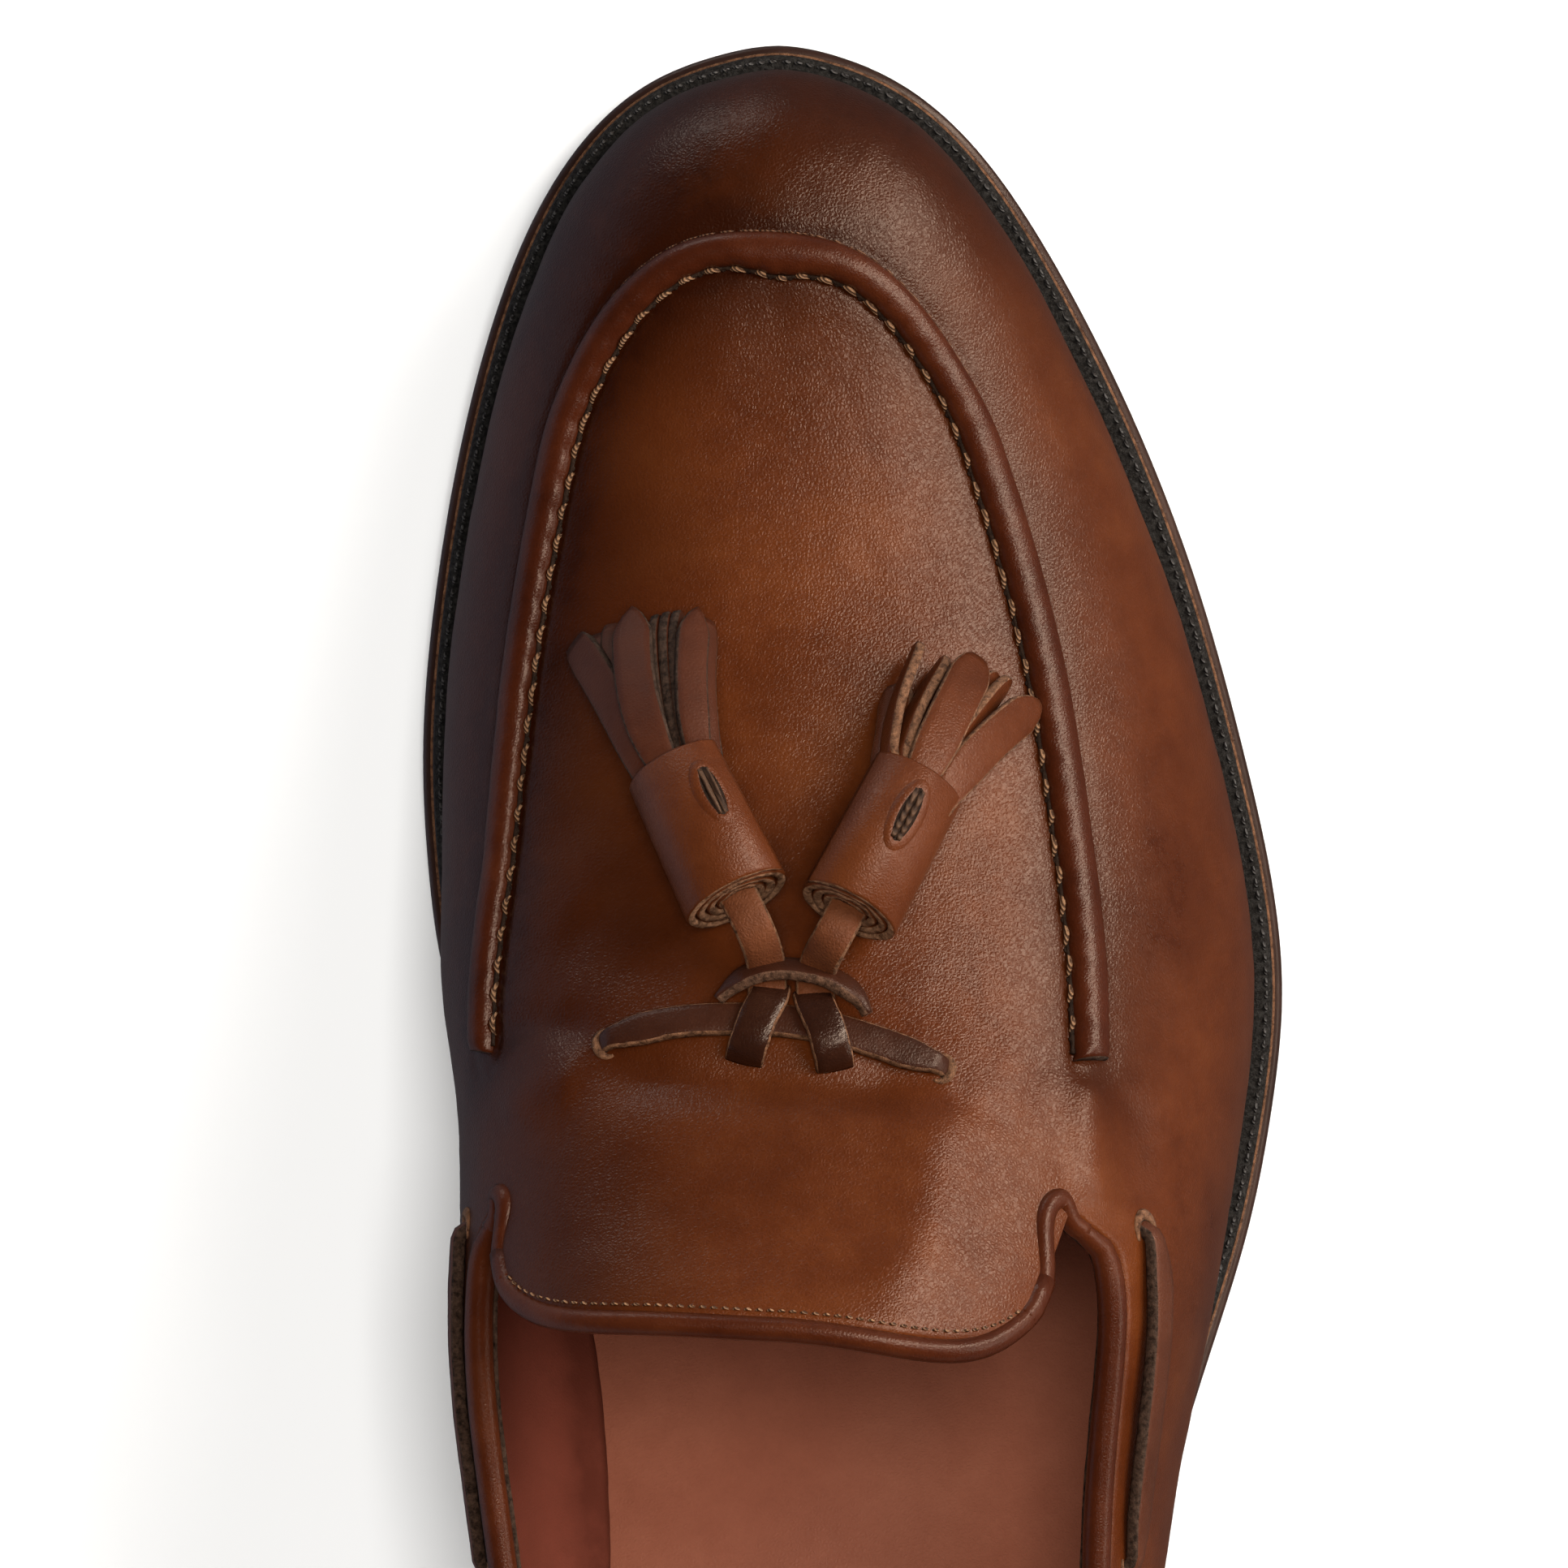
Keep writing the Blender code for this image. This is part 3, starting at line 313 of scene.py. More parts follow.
def feather_inset(side, arc):
    """How far the upper stands in from the sole's edge."""
    along = edge_point(side, arc, 0).y / SHOE_LENGTH + 0.5
    return WELT_REACH * wall_value(0, side, along)


def ridge_point(station):
    """The ridge of the last, with a short stretch of it inside each fan."""
    fans = []
    for depth, arcs in (
        (HEEL_FAN_DEPTH, [arc_at(side, 1) for side in (-1, 1)]),
        (TOE_FAN_DEPTH, [arc_at(side, 3) - arc_at(side, 2) for side in (-1, 1)]),
    ):
        fans.append(sum(arcs) / 2 / (depth * SHOE_LENGTH))
    if station < 1:
        along = HEEL_FAN_START - HEEL_FAN_DEPTH * (1 - max(station, 0.0) ** fans[0])
    elif station > 2:
        along = TOE_FAN_START + TOE_FAN_DEPTH * (1 - max(3 - station, 0.0) ** fans[1])
    else:
        along = HEEL_FAN_START + (station - 1) * (TOE_FAN_START - HEEL_FAN_START)
    y = (along - 0.5) * SHOE_LENGTH
    height = feather_height(y) + RIDGE_HEIGHT(along) * INSTEP_HEIGHT
    return Vector((RIDGE_ACROSS(along) * BALL_WIDTH, y, height))


SECTIONS = {}


def section(side, station):
    """What one section of the upper is made of: feather, ridge, bulge, widest height and fullness."""
    key = side, round(station, 6)
    if key not in SECTIONS:
        arc = arc_at(side, station)
        plan = edge_point(side, arc, feather_inset(side, arc))
        along = plan.y / SHOE_LENGTH + 0.5
        feather = plan.to_3d()
        feather.z = feather_height(plan.y)
        SECTIONS[key] = (
            feather,
            ridge_point(station),
            wall_value(1, side, along) * ARCH_OVERHANG,
            wall_value(2, side, along) * INSTEP_HEIGHT,
            wall_value(3, side, along),
        )
    return SECTIONS[key]


def upper_point(side, station, rise):
    """A point of the upper's outer face."""
    feather, ridge, bulge, wide, full = section(side, station)
    inward = (ridge - feather).to_2d().normalized().to_3d()
    if rise < 1:
        return feather - inward * bulge * (1 - (1 - rise) ** 2) + Vector((0, 0, wide * rise))
    turn = (min(rise, 2.0) - 1) * math.pi / 2
    run = max(math.cos(turn), 0.0) ** (2 / full)
    lift = math.sin(turn) ** (2 / full)
    widest = feather - inward * bulge
    point = ridge.lerp(widest, run)
    point.z = feather.z + wide + (ridge.z - feather.z - wide) * lift
    return point


def upper_normal(side, station, rise):
    """The outward normal of the upper's outer face."""
    step = 0.004
    low, high = max(station - step, 0.0), min(station + step, 3.0)
    under, over = max(rise - step, 0.0), min(rise + step, 2.0)
    forward = upper_point(side, high, rise) - upper_point(side, low, rise)
    upward = upper_point(side, station, over) - upper_point(side, station, under)
    return (side * forward.cross(upward)).normalized()


def rise_at_height(side, station, height):
    """The rise at which a section reaches a height above its feather line."""
    feather, ridge, _, wide, full = section(side, station)
    lift = (height - wide) / (ridge.z - feather.z - wide)
    return 1 + math.asin(min(max(lift, 0.0), 1.0) ** (full / 2)) / (math.pi / 2)


def collar_height(side, station):
    """The finished top line above the feather line."""
    feather = section(side, station)[0]
    along = feather.y / SHOE_LENGTH + 0.5
    return COLLAR[side](min(max(along, 0.0), NOTCH)) * INSTEP_HEIGHT


def wall_top(side, station):
    """The rise of the wall's own top, which leaves room for the rolled collar on it."""
    room = COLLAR_ROLL_DIAMETER + PART_GAP
    drop = room * ease((NOTCH_STATION - station) / NOTCH_SLOPE)
    return rise_at_height(side, station, collar_height(side, station) - drop)


def sole_stations(first, last, count):
    """Evenly spaced stations."""
    return [first + (last - first) * i / count for i in range(count + 1)]


def feather_offset(distance):
    """An inset measured inwards from the upper's feather line."""
    return lambda side, arc: feather_inset(side, arc) + distance


def tongue_rise(side, fraction):
    """The rise of a place across the tongue: fraction is 1 at the notch, 0 on the ridge."""
    notch = wall_top(side, NOTCH_STATION)
    return 2 - (2 - notch) * fraction


def tongue_point(across, share, lookup=upper_point):
    """A place on the tongue: across is -1 to 1 between the notches, share is 0 at them, 1 at its edge."""
    side = -1 if across < 0 else 1
    round_off = max(0.0, 1 - abs(across) ** TONGUE_SQUARENESS) ** (1 / TONGUE_SQUARENESS)
    reach = TONGUE_LENGTH + TONGUE_SKEW * across - TONGUE_BOW * (1 - across**2) ** 2
    back = share * round_off * reach
    taper = 1 - TONGUE_TAPER * back / TONGUE_LENGTH
    station = NOTCH_STATION - back / SHOE_LENGTH / (TOE_FAN_START - HEEL_FAN_START)
    return lookup(side, station, tongue_rise(side, abs(across) * taper))


def apron_rise(side, station):
    """The rise of the roll's middle, from its share of the way from ridge to widest point."""
    full = section(side, station)[4]
    return 1 + math.acos(APRON[side](station) ** (full / 2)) / (math.pi / 2)


def lace_rise(side, station):
    """The rise of the lace that runs below the top line."""
    return rise_at_height(side, station, collar_height(side, station) - LACE_DROP)


def plan_place(across, along):
    """A plan point from shares of the ball width and the sole's length."""
    return Vector((across * BALL_WIDTH, (along - 0.5) * SHOE_LENGTH))


def heading(degrees):
    """The plan direction that leans from the toe direction towards the outer side."""
    return Vector((math.sin(math.radians(degrees)), math.cos(math.radians(degrees))))


def middle_across():
    """The middle of the shoe's width, which make_piece moves over the origin."""
    across = np.concatenate([plan[:, 0] for _, plan, _ in EDGES.values()])
    return (across.min() + across.max()) / 2


MIDDLE = middle_across()


# Meshes

def make_piece(name, verts, faces, materials, slots=None, replaces=(), slot=None, smooth=True):
    """A mesh piece that rides on the shoe, moved from the heel's axis to its place."""
    mesh = bpy.data.meshes.new(name)
    mesh.from_pydata([(v[0] - MIDDLE, v[1], v[2]) for v in verts], [], faces)
    for surface in materials:
        mesh.materials.append(surface)
    if slots is not None:
        mesh.polygons.foreach_set("material_index", slots)
    mesh.polygons.foreach_set("use_smooth", [smooth] * len(mesh.polygons))
    piece = bpy.data.objects.new(name, mesh)
    bpy.context.collection.objects.link(piece)
    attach(piece, "root")
    for node in replaces:
        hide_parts(node)
    return piece


def grid_faces(rows, columns, wrap_rows=False, wrap_columns=False, start=0):
    """Quads of a grid of points, its rows or columns closed on themselves if asked."""
    faces = []
    for i in range(rows if wrap_rows else rows - 1):
        near, far = start + i * columns, start + (i + 1) % rows * columns
        for j in range(columns if wrap_columns else columns - 1):
            right = (j + 1) % columns
            faces.append((near + j, near + right, far + right, far + j))
    return faces


class Parts:
    """Gathers verts and faces of many small forms into one piece."""

    def __init__(self):
        """Start with nothing gathered."""
        self.verts, self.faces, self.slots = [], [], []

    def grid(self, rows, wrap_rows=False, wrap_columns=False, caps=False, slots=None, cap_slot=0):
        """Add a grid of points; caps close the first and last row of a tube."""
        start = len(self.verts)
        count, columns = len(rows), len(rows[0])
        for row in rows:
            self.verts.extend(row)
        faces = grid_faces(count, columns, wrap_rows, wrap_columns, start)
        self.faces.extend(faces)
        if slots is None:
            self.slots.extend([0] * len(faces))
        else:
            self.slots.extend(list(slots) * (len(faces) // len(slots)))
        if caps:
            self.faces.append(tuple(range(start + columns - 1, start - 1, -1)))
            self.faces.append(tuple(range(start + (count - 1) * columns, start + count * columns)))
            self.slots.extend([cap_slot, cap_slot])

    def make(self, name, materials, **options):
        """Turn what was gathered into a piece."""
        piece = make_piece(name, self.verts, self.faces, materials, self.slots, **options)
        fix = bmesh_from(piece)
        bmesh.ops.recalc_face_normals(fix, faces=fix.faces)
        fix.to_mesh(piece.data)
        fix.free()
        return piece


def bmesh_from(piece):
    """A bmesh of a piece's mesh."""
    data = bmesh.new()
    data.from_mesh(piece.data)
    return data


def resample(points, count):
    """The same line with evenly spaced points, on a smooth curve through the given ones."""
    points = [np.array(point, float) for point in points]
    arc = np.concatenate([[0.0], np.cumsum([np.linalg.norm(b - a) for a, b in zip(points, points[1:])])])
    curves = [spline(arc, [point[axis] for point in points]) for axis in range(len(points[0]))]
    return [Vector([curve(step) for curve in curves]) for step in np.linspace(0, arc[-1], count)]


def sweep(parts, centres, ups, section, caps=True, slots=None, cap_slot=0):
    """Sweep a closed section along a line: (across, up) points, or a function that gives them for a share."""
    rows = []
    last = len(centres) - 1
    for i, (centre, up) in enumerate(zip(centres, ups)):
        ahead = (centres[min(i + 1, last)] - centres[max(i - 1, 0)]).normalized()
        across = ahead.cross(up).normalized()
        rise = across.cross(ahead).normalized()
        outline = section(i / last) if callable(section) else section
        rows.append([centre + across * a + rise * b for a, b in outline])
    parts.grid(rows, wrap_columns=True, caps=caps, slots=slots, cap_slot=cap_slot)


# The faces of a flat section: 0 for the smooth ones, 1 for the raw edges
FLAT_SLOTS = [0] * 5 + [1] * 4 + [0] * 5 + [1] * 4
FLAT_CORNER = 0.35
EDGE_BULGE = 0.00003


def flat_section(width, thickness, crown=0.0):
    """A flat lace's section, with rounded corners and a crowned top."""
    half, thick = width / 2, thickness / 2
    bend = thick * FLAT_CORNER
    tops = [-1.0, -0.6, -0.2, 0.2, 0.6, 1.0]
    points = [((half - bend) * share, thick + crown * (1 - share * share)) for share in tops]
    points += [(half, thick - bend), (half + EDGE_BULGE, 0.0), (half, -thick + bend)]
    points += [((half - bend) * share, -thick) for share in reversed(tops)]
    return points + [(-half, -thick + bend), (-half - EDGE_BULGE, 0.0), (-half, thick - bend)]


def sweep_flat(parts, centres, ups, section):
    """Sweep a flat section along a line, with raw edges and ends."""
    sweep(parts, centres, ups, section, slots=FLAT_SLOTS, cap_slot=1)


def round_section(radius, count=12, squash=1.0):
    """A round or oval section."""
    return [
        (radius * math.sin(2 * math.pi * i / count), radius * squash * math.cos(2 * math.pi * i / count))
        for i in range(count)
    ]


def ellipse(centre, first, second, count):
    """Points round an ellipse, given its two half axes."""
    turns = [2 * math.pi * i / count for i in range(count)]
    return [centre + first * math.cos(turn) + second * math.sin(turn) for turn in turns]


# The vamp as seen from above, on which straps and stitches are dropped

SETTLE_REACH = 0.003


def vamp_tree():
    """The vamp and tongue as a tree on which points are dropped from above."""
    verts, faces = [], []
    rises = [1 + i / 40 for i in range(41)]
    for side in (-1, 1):
        stations = sole_stations(1.3, 3, 110)
        faces += grid_faces(len(stations), len(rises), start=len(verts))
        verts += [upper_point(side, station, rise) for station in stations for rise in rises]
    return BVHTree.FromPolygons(verts, faces)


SURFACE = {"outside": vamp_tree()}


def drop(x, y):
    """The vamp's point and upward normal below a plan point."""
    point, normal, _, _ = SURFACE["outside"].ray_cast(Vector((x, y, 1.0)), Vector((0, 0, -1)))
    if normal.z < 0:
        normal = -normal
    return point, normal


def settle(point, normal):
    """The same place on the finished, creased face of the leather."""
    hit = SURFACE["outside"].ray_cast(point + normal * SETTLE_REACH, -normal, 2 * SETTLE_REACH)[0]
    return hit if hit is not None else point


def on_vamp(x, y, lift=0.0):
    """A point at a height above the vamp."""
    point, normal = drop(x, y)
    return point + normal * lift


# Materials

BURNISH_AND_SHADE_SHARE = 0.42
PEBBLE_SIZE = 0.00048


def new_material(name):
    """A new material, its node tree and its shader."""
    surface = bpy.data.materials.new(name)
    surface.use_nodes = True
    tree = surface.node_tree
    return surface, tree, tree.nodes["Principled BSDF"]


def add_node(tree, kind, **settings):
    """A node with its properties set."""
    node = tree.nodes.new(kind)
    for key, value in settings.items():
        setattr(node, key, value)
    return node


def noise_node(tree, coordinates, scale, detail=3.0, roughness=0.55):
    """Noise in object space."""
    node = add_node(tree, "ShaderNodeTexNoise")
    node.inputs["Scale"].default_value = scale
    node.inputs["Detail"].default_value = detail
    node.inputs["Roughness"].default_value = roughness
    tree.links.new(coordinates, node.inputs["Vector"])
    return node.outputs["Fac"]


def ramp(tree, factor, stops):
    """A colour ramp over a factor: stops are (place, colour)."""
    node = add_node(tree, "ShaderNodeValToRGB")
    elements = node.color_ramp.elements
    while len(elements) < len(stops):
        elements.new(0.5)
    for element, (place, colour) in zip(elements, stops):
        element.position = place
        element.color = (*colour, 1.0)
    tree.links.new(factor, node.inputs["Fac"])
    return node.outputs["Color"]


def combine(tree, operation, first, second):
    """A math node on two values or sockets."""
    node = add_node(tree, "ShaderNodeMath", operation=operation)
    for socket, value in zip(node.inputs, (first, second)):
        if isinstance(value, (int, float)):
            socket.default_value = value
        else:
            tree.links.new(value, socket)
    return node.outputs["Value"]


def mix_colour(tree, factor, first, second, blend="MIX"):
    """Mix two colours or sockets."""
    node = add_node(tree, "ShaderNodeMix", data_type="RGBA", blend_type=blend)
    for index, value in ((0, factor), (6, first), (7, second)):
        socket = node.inputs[index]
        if isinstance(value, (int, float)):
            socket.default_value = value
        elif isinstance(value, tuple):
            socket.default_value = (*value, 1.0)
        else:
            tree.links.new(value, socket)
    return node.outputs[2]


def add_bump(tree, shader, height, distance, strength=1.0, after=None):
    """Bump on a shader, after an earlier one if there is one."""
    bump = add_node(tree, "ShaderNodeBump")
    bump.inputs["Strength"].default_value = strength
    bump.inputs["Distance"].default_value = distance
    tree.links.new(height, bump.inputs["Height"])
    if after is not None:
        tree.links.new(after, bump.inputs["Normal"])
    tree.links.new(bump.outputs["Normal"], shader.inputs["Normal"])
    return bump.outputs["Normal"]


def object_place(tree):
    """The place on the piece in its own coordinates, in metres."""
    return add_node(tree, "ShaderNodeTexCoord").outputs["Object"]


def leather_colour(tree, place, dark, middle, light):
    """Mottled leather, darker where the burnish_and_shade attribute says: real burnishing, and painted shade
    on the upper. Returns colour, mottle and finer noises.
    """
    broad = noise_node(tree, place, 38.0, 3.0)
    fine = noise_node(tree, place, 260.0, 4.0, 0.65)
    speck = noise_node(tree, place, 1500.0, 2.0, 0.6)
    mottle = combine(tree, "MULTIPLY", broad, 0.62)
    for finer, weight in ((fine, 0.26), (speck, 0.12)):
        mottle = combine(tree, "ADD", mottle, combine(tree, "MULTIPLY", finer, weight))
    colour = ramp(tree, mottle, ((0.30, dark), (0.50, middle), (0.72, light)))
    # The attribute darkens by real burnishing and, on the upper, by painted shade.
    burnish_and_shade = add_node(tree, "ShaderNodeAttribute", attribute_name="burnish_and_shade").outputs["Fac"]
    uneven = combine(tree, "ADD", 0.72, combine(tree, "MULTIPLY", fine, 0.56))
    darkest = tuple(value * BURNISH_AND_SHADE_SHARE for value in dark)
    colour = mix_colour(tree, combine(tree, "MULTIPLY", burnish_and_shade, uneven), colour, darkest)
    return colour, mottle, fine, speck


def pebble_pores(tree, place):
    """Pebbles of grain, 0 in the pores between them and 1 on top."""
    wave = add_node(tree, "ShaderNodeTexNoise")
    wave.inputs["Scale"].default_value = 900.0
    tree.links.new(place, wave.inputs["Vector"])
    shift = add_node(tree, "ShaderNodeVectorMath", operation="SCALE")
    shift.inputs["Scale"].default_value = PEBBLE_SIZE * 0.9
    tree.links.new(wave.outputs["Color"], shift.inputs[0])
    warp = add_node(tree, "ShaderNodeVectorMath", operation="ADD")
    tree.links.new(place, warp.inputs[0])
    tree.links.new(shift.outputs["Vector"], warp.inputs[1])
    pebble = add_node(tree, "ShaderNodeTexVoronoi", feature="DISTANCE_TO_EDGE")
    pebble.inputs["Scale"].default_value = 1.0 / PEBBLE_SIZE
    tree.links.new(warp.outputs["Vector"], pebble.inputs["Vector"])
    stops = ((0.0, (0, 0, 0)), (0.34, (0.85, 0.85, 0.85)), (0.55, (1, 1, 1)))
    return ramp(tree, pebble.outputs["Distance"], stops)


def leather(name, dark, middle, light, gloss, grain, coat):
    """Burnished leather with a pebble grain: gloss is its roughness, grain the height of the pebbles."""
    surface, tree, shader = new_material(name)
    place = object_place(tree)
    colour, mottle, fine, speck = leather_colour(tree, place, dark, middle, light)
    tree.links.new(colour, shader.inputs["Base Color"])
    relief = combine(tree, "ADD", pebble_pores(tree, place), combine(tree, "MULTIPLY", speck, 0.5))
    pebbled = add_bump(tree, shader, relief, grain, 0.9)
    add_bump(tree, shader, fine, 0.00012, 0.2, pebbled)
    rough = combine(tree, "ADD", gloss, combine(tree, "MULTIPLY", mottle, 0.18))
    tree.links.new(rough, shader.inputs["Roughness"])
    shader.inputs["Coat Weight"].default_value = coat
    shader.inputs["Coat Roughness"].default_value = 0.22
    shader.inputs["Specular IOR Level"].default_value = 0.42
    return surface


def raw_edge(name, dark, light, fibre):
    """The fibrous cut edge of leather."""
    surface, tree, shader = new_material(name)
    place = object_place(tree)
    fluff = noise_node(tree, place, fibre, 4.0, 0.75)
    tree.links.new(ramp(tree, fluff, ((0.35, dark), (0.65, light))), shader.inputs["Base Color"])
    add_bump(tree, shader, fluff, 0.0004, 0.8)
    shader.inputs["Roughness"].default_value = 0.85
    return surface


def thread(name, dark, light, twist):
    """Twisted waxed thread."""
    surface, tree, shader = new_material(name)
    place = object_place(tree)
    ply = add_node(tree, "ShaderNodeTexWave", wave_type="BANDS", bands_direction="DIAGONAL")
    ply.inputs["Scale"].default_value = twist
    ply.inputs["Distortion"].default_value = 2.0
    tree.links.new(place, ply.inputs["Vector"])
    soil = noise_node(tree, place, 350.0, 3.0)
    worn = combine(tree, "MULTIPLY", combine(tree, "ADD", ply.outputs["Fac"], soil), 0.5)
    tree.links.new(ramp(tree, worn, ((0.30, dark), (0.68, light))), shader.inputs["Base Color"])
    add_bump(tree, shader, ply.outputs["Fac"], 0.0002, 0.8)
    shader.inputs["Roughness"].default_value = 0.62
    return surface


def waxed_welt(name):
    """Black waxed leather with short fibres across it."""
    surface, tree, shader = new_material(name)
    place = object_place(tree)
    weave = noise_node(tree, place, 1900.0, 4.0, 0.7)
    broad = noise_node(tree, place, 120.0, 3.0)
    colour = ramp(tree, weave, ((0.42, (0.004, 0.0038, 0.0036)), (0.66, (0.024, 0.022, 0.020))))
    colour = mix_colour(tree, combine(tree, "MULTIPLY", broad, 0.35), colour, (0.012, 0.010, 0.009))
    tree.links.new(colour, shader.inputs["Base Color"])
    add_bump(tree, shader, weave, 0.0004, 0.9)
    shader.inputs["Roughness"].default_value = 0.55
    shader.inputs["Specular IOR Level"].default_value = 0.25
    return surface


def layered_heel(name):
    """Stacked leather lifts with a dark polish."""
    surface, tree, shader = new_material(name)
    place = object_place(tree)
    split = add_node(tree, "ShaderNodeSeparateXYZ")
    tree.links.new(place, split.inputs["Vector"])
    lift = combine(tree, "FRACT", combine(tree, "DIVIDE", split.outputs["Z"], 0.0052), 0.0)
    line = ramp(tree, lift, ((0.0, (0, 0, 0)), (0.05, (1, 1, 1)), (0.95, (1, 1, 1)), (1.0, (0, 0, 0))))
    grain = noise_node(tree, place, 420.0, 4.0, 0.6)
    colour = ramp(tree, grain, ((0.35, (0.014, 0.008, 0.006)), (0.7, (0.040, 0.022, 0.015))))
    colour = mix_colour(tree, line, (0.004, 0.003, 0.003), colour)
    tree.links.new(colour, shader.inputs["Base Color"])
    first = add_bump(tree, shader, line, 0.0002, 0.6)
    add_bump(tree, shader, grain, 0.0001, 0.4, first)
    shader.inputs["Roughness"].default_value = 0.36
    shader.inputs["Coat Weight"].default_value = 0.3
    shader.inputs["Coat Roughness"].default_value = 0.2
    return surface


def rubber(name):
    """Matt black heel rubber."""
    surface, tree, shader = new_material(name)
    place = object_place(tree)
    grain = noise_node(tree, place, 900.0, 3.0)
    colour = ramp(tree, grain, ((0.3, (0.012, 0.012, 0.012)), (0.7, (0.030, 0.030, 0.030))))
    tree.links.new(colour, shader.inputs["Base Color"])
    add_bump(tree, shader, grain, 0.0002, 0.5)
    shader.inputs["Roughness"].default_value = 0.72
    return surface


# The leathers: three colours of the mottling, roughness, height of the grain in metres, weight of the coat
LEATHERS = (
    # name, dark, middle, light, gloss, grain, coat
    ("burnished_upper", (0.0390, 0.0070, 0.0014), (0.0730, 0.0156, 0.0032), (0.1160, 0.0290, 0.0062),
     0.21, 0.000036, 0.05),
    ("polished_roll", (0.0200, 0.0038, 0.0013), (0.0390, 0.0076, 0.0023), (0.0680, 0.0155, 0.0046),
     0.22, 0.000024, 0.06),
    ("lace_leather_dark", (0.0160, 0.0044, 0.0020), (0.0300, 0.0085, 0.0040), (0.0520, 0.0165, 0.0072),
     0.27, 0.000024, 0.04),
    ("side_lace_leather", (0.0340, 0.0085, 0.0034), (0.0580, 0.0155, 0.0062), (0.0850, 0.0250, 0.0100),
     0.33, 0.000030, 0.05),
    ("knot_leather", (0.0100, 0.0032, 0.0018), (0.0180, 0.0055, 0.0028), (0.0320, 0.0105, 0.0050),
     0.15, 0.000030, 0.20),
    ("tassel_leather", (0.0390, 0.0084, 0.0021), (0.0680, 0.0154, 0.0038), (0.0980, 0.0252, 0.0068),
     0.27, 0.000036, 0.03),
    ("strap_suede", (0.0480, 0.0125, 0.0042), (0.0800, 0.0226, 0.0080), (0.1240, 0.0390, 0.0150),
     0.51, 0.000060, 0.00),
    # A darker copy of tassel_leather: painted shade for the medial fringe
    ("shaded_fringe_leather", (0.0250, 0.0052, 0.0018), (0.0420, 0.0092, 0.0030), (0.0640, 0.0160, 0.0054),
     0.41, 0.000024, 0.00),
    ("lining_leather", (0.2620, 0.0610, 0.0350), (0.3380, 0.0830, 0.0500), (0.4140, 0.1100, 0.0660),
     0.46, 0.000024, 0.00),
    ("sock_leather", (0.1720, 0.0520, 0.0290), (0.2090, 0.0660, 0.0370), (0.2480, 0.0840, 0.0480),
     0.46, 0.000060, 0.00),
    ("sole_edge", (0.0110, 0.0050, 0.0038), (0.0200, 0.0085, 0.0060), (0.0350, 0.0150, 0.0100),
     0.25, 0.000018, 0.20),
)
LEATHER = {row[0]: leather(*row) for row in LEATHERS}

# Cut edges, and the painted shade in every hole and cut, with the fineness of their fibres, and threads, with
# that of their twist
RAW_EDGES = (
    # name, dark, light, fibres
    ("tan_raw_edge", (0.0340, 0.0130, 0.0058), (0.1650, 0.0740, 0.0360), 1200.0),
    ("dark_raw_edge", (0.0080, 0.0042, 0.0027), (0.0520, 0.0280, 0.0180), 1200.0),
    ("rolled_edge", (0.0550, 0.0220, 0.0100), (0.2800, 0.1400, 0.0740), 900.0),
    ("loop_raw_edge", (0.0200, 0.0085, 0.0045), (0.1100, 0.0520, 0.0290), 1200.0),
    # Painted shade for each stitch hole, slot cut, the roll's groove and the inside of the tassel heads
    ("painted_hole_shade", (0.0060, 0.0030, 0.0020), (0.0200, 0.0100, 0.0060), 1200.0),
)
EDGE = {row[0]: raw_edge(*row) for row in RAW_EDGES}
THREADS = (
    # name, dark, light, twist
    ("welt_thread", (0.0080, 0.0070, 0.0070), (0.0550, 0.0510, 0.0480), 900.0),
    ("dark_thread", (0.0200, 0.0090, 0.0050), (0.0600, 0.0290, 0.0150), 520.0),
    ("tan_thread", (0.0360, 0.0150, 0.0070), (0.2100, 0.1080, 0.0540), 900.0),
    ("fine_thread", (0.0300, 0.0110, 0.0050), (0.1100, 0.0470, 0.0220), 900.0),
)
THREAD = {row[0]: thread(*row) for row in THREADS}
WELT_LEATHER = waxed_welt("waxed_welt")
HEEL_LEATHER = layered_heel("stacked_heel")
TOP_LIFT_RUBBER = rubber("top_lift_rubber")


# The lace across the vamp: its middle line in shares of the ball width and the sole's length
BAR_LINE = (
    # across, along
    (-0.258, 0.5820),
    (-0.186, 0.5892),
    (-0.111, 0.5915),
    (-0.037, 0.5902),
    (0.022, 0.5858),
    (0.083, 0.5786),
    (0.137, 0.5719),
)

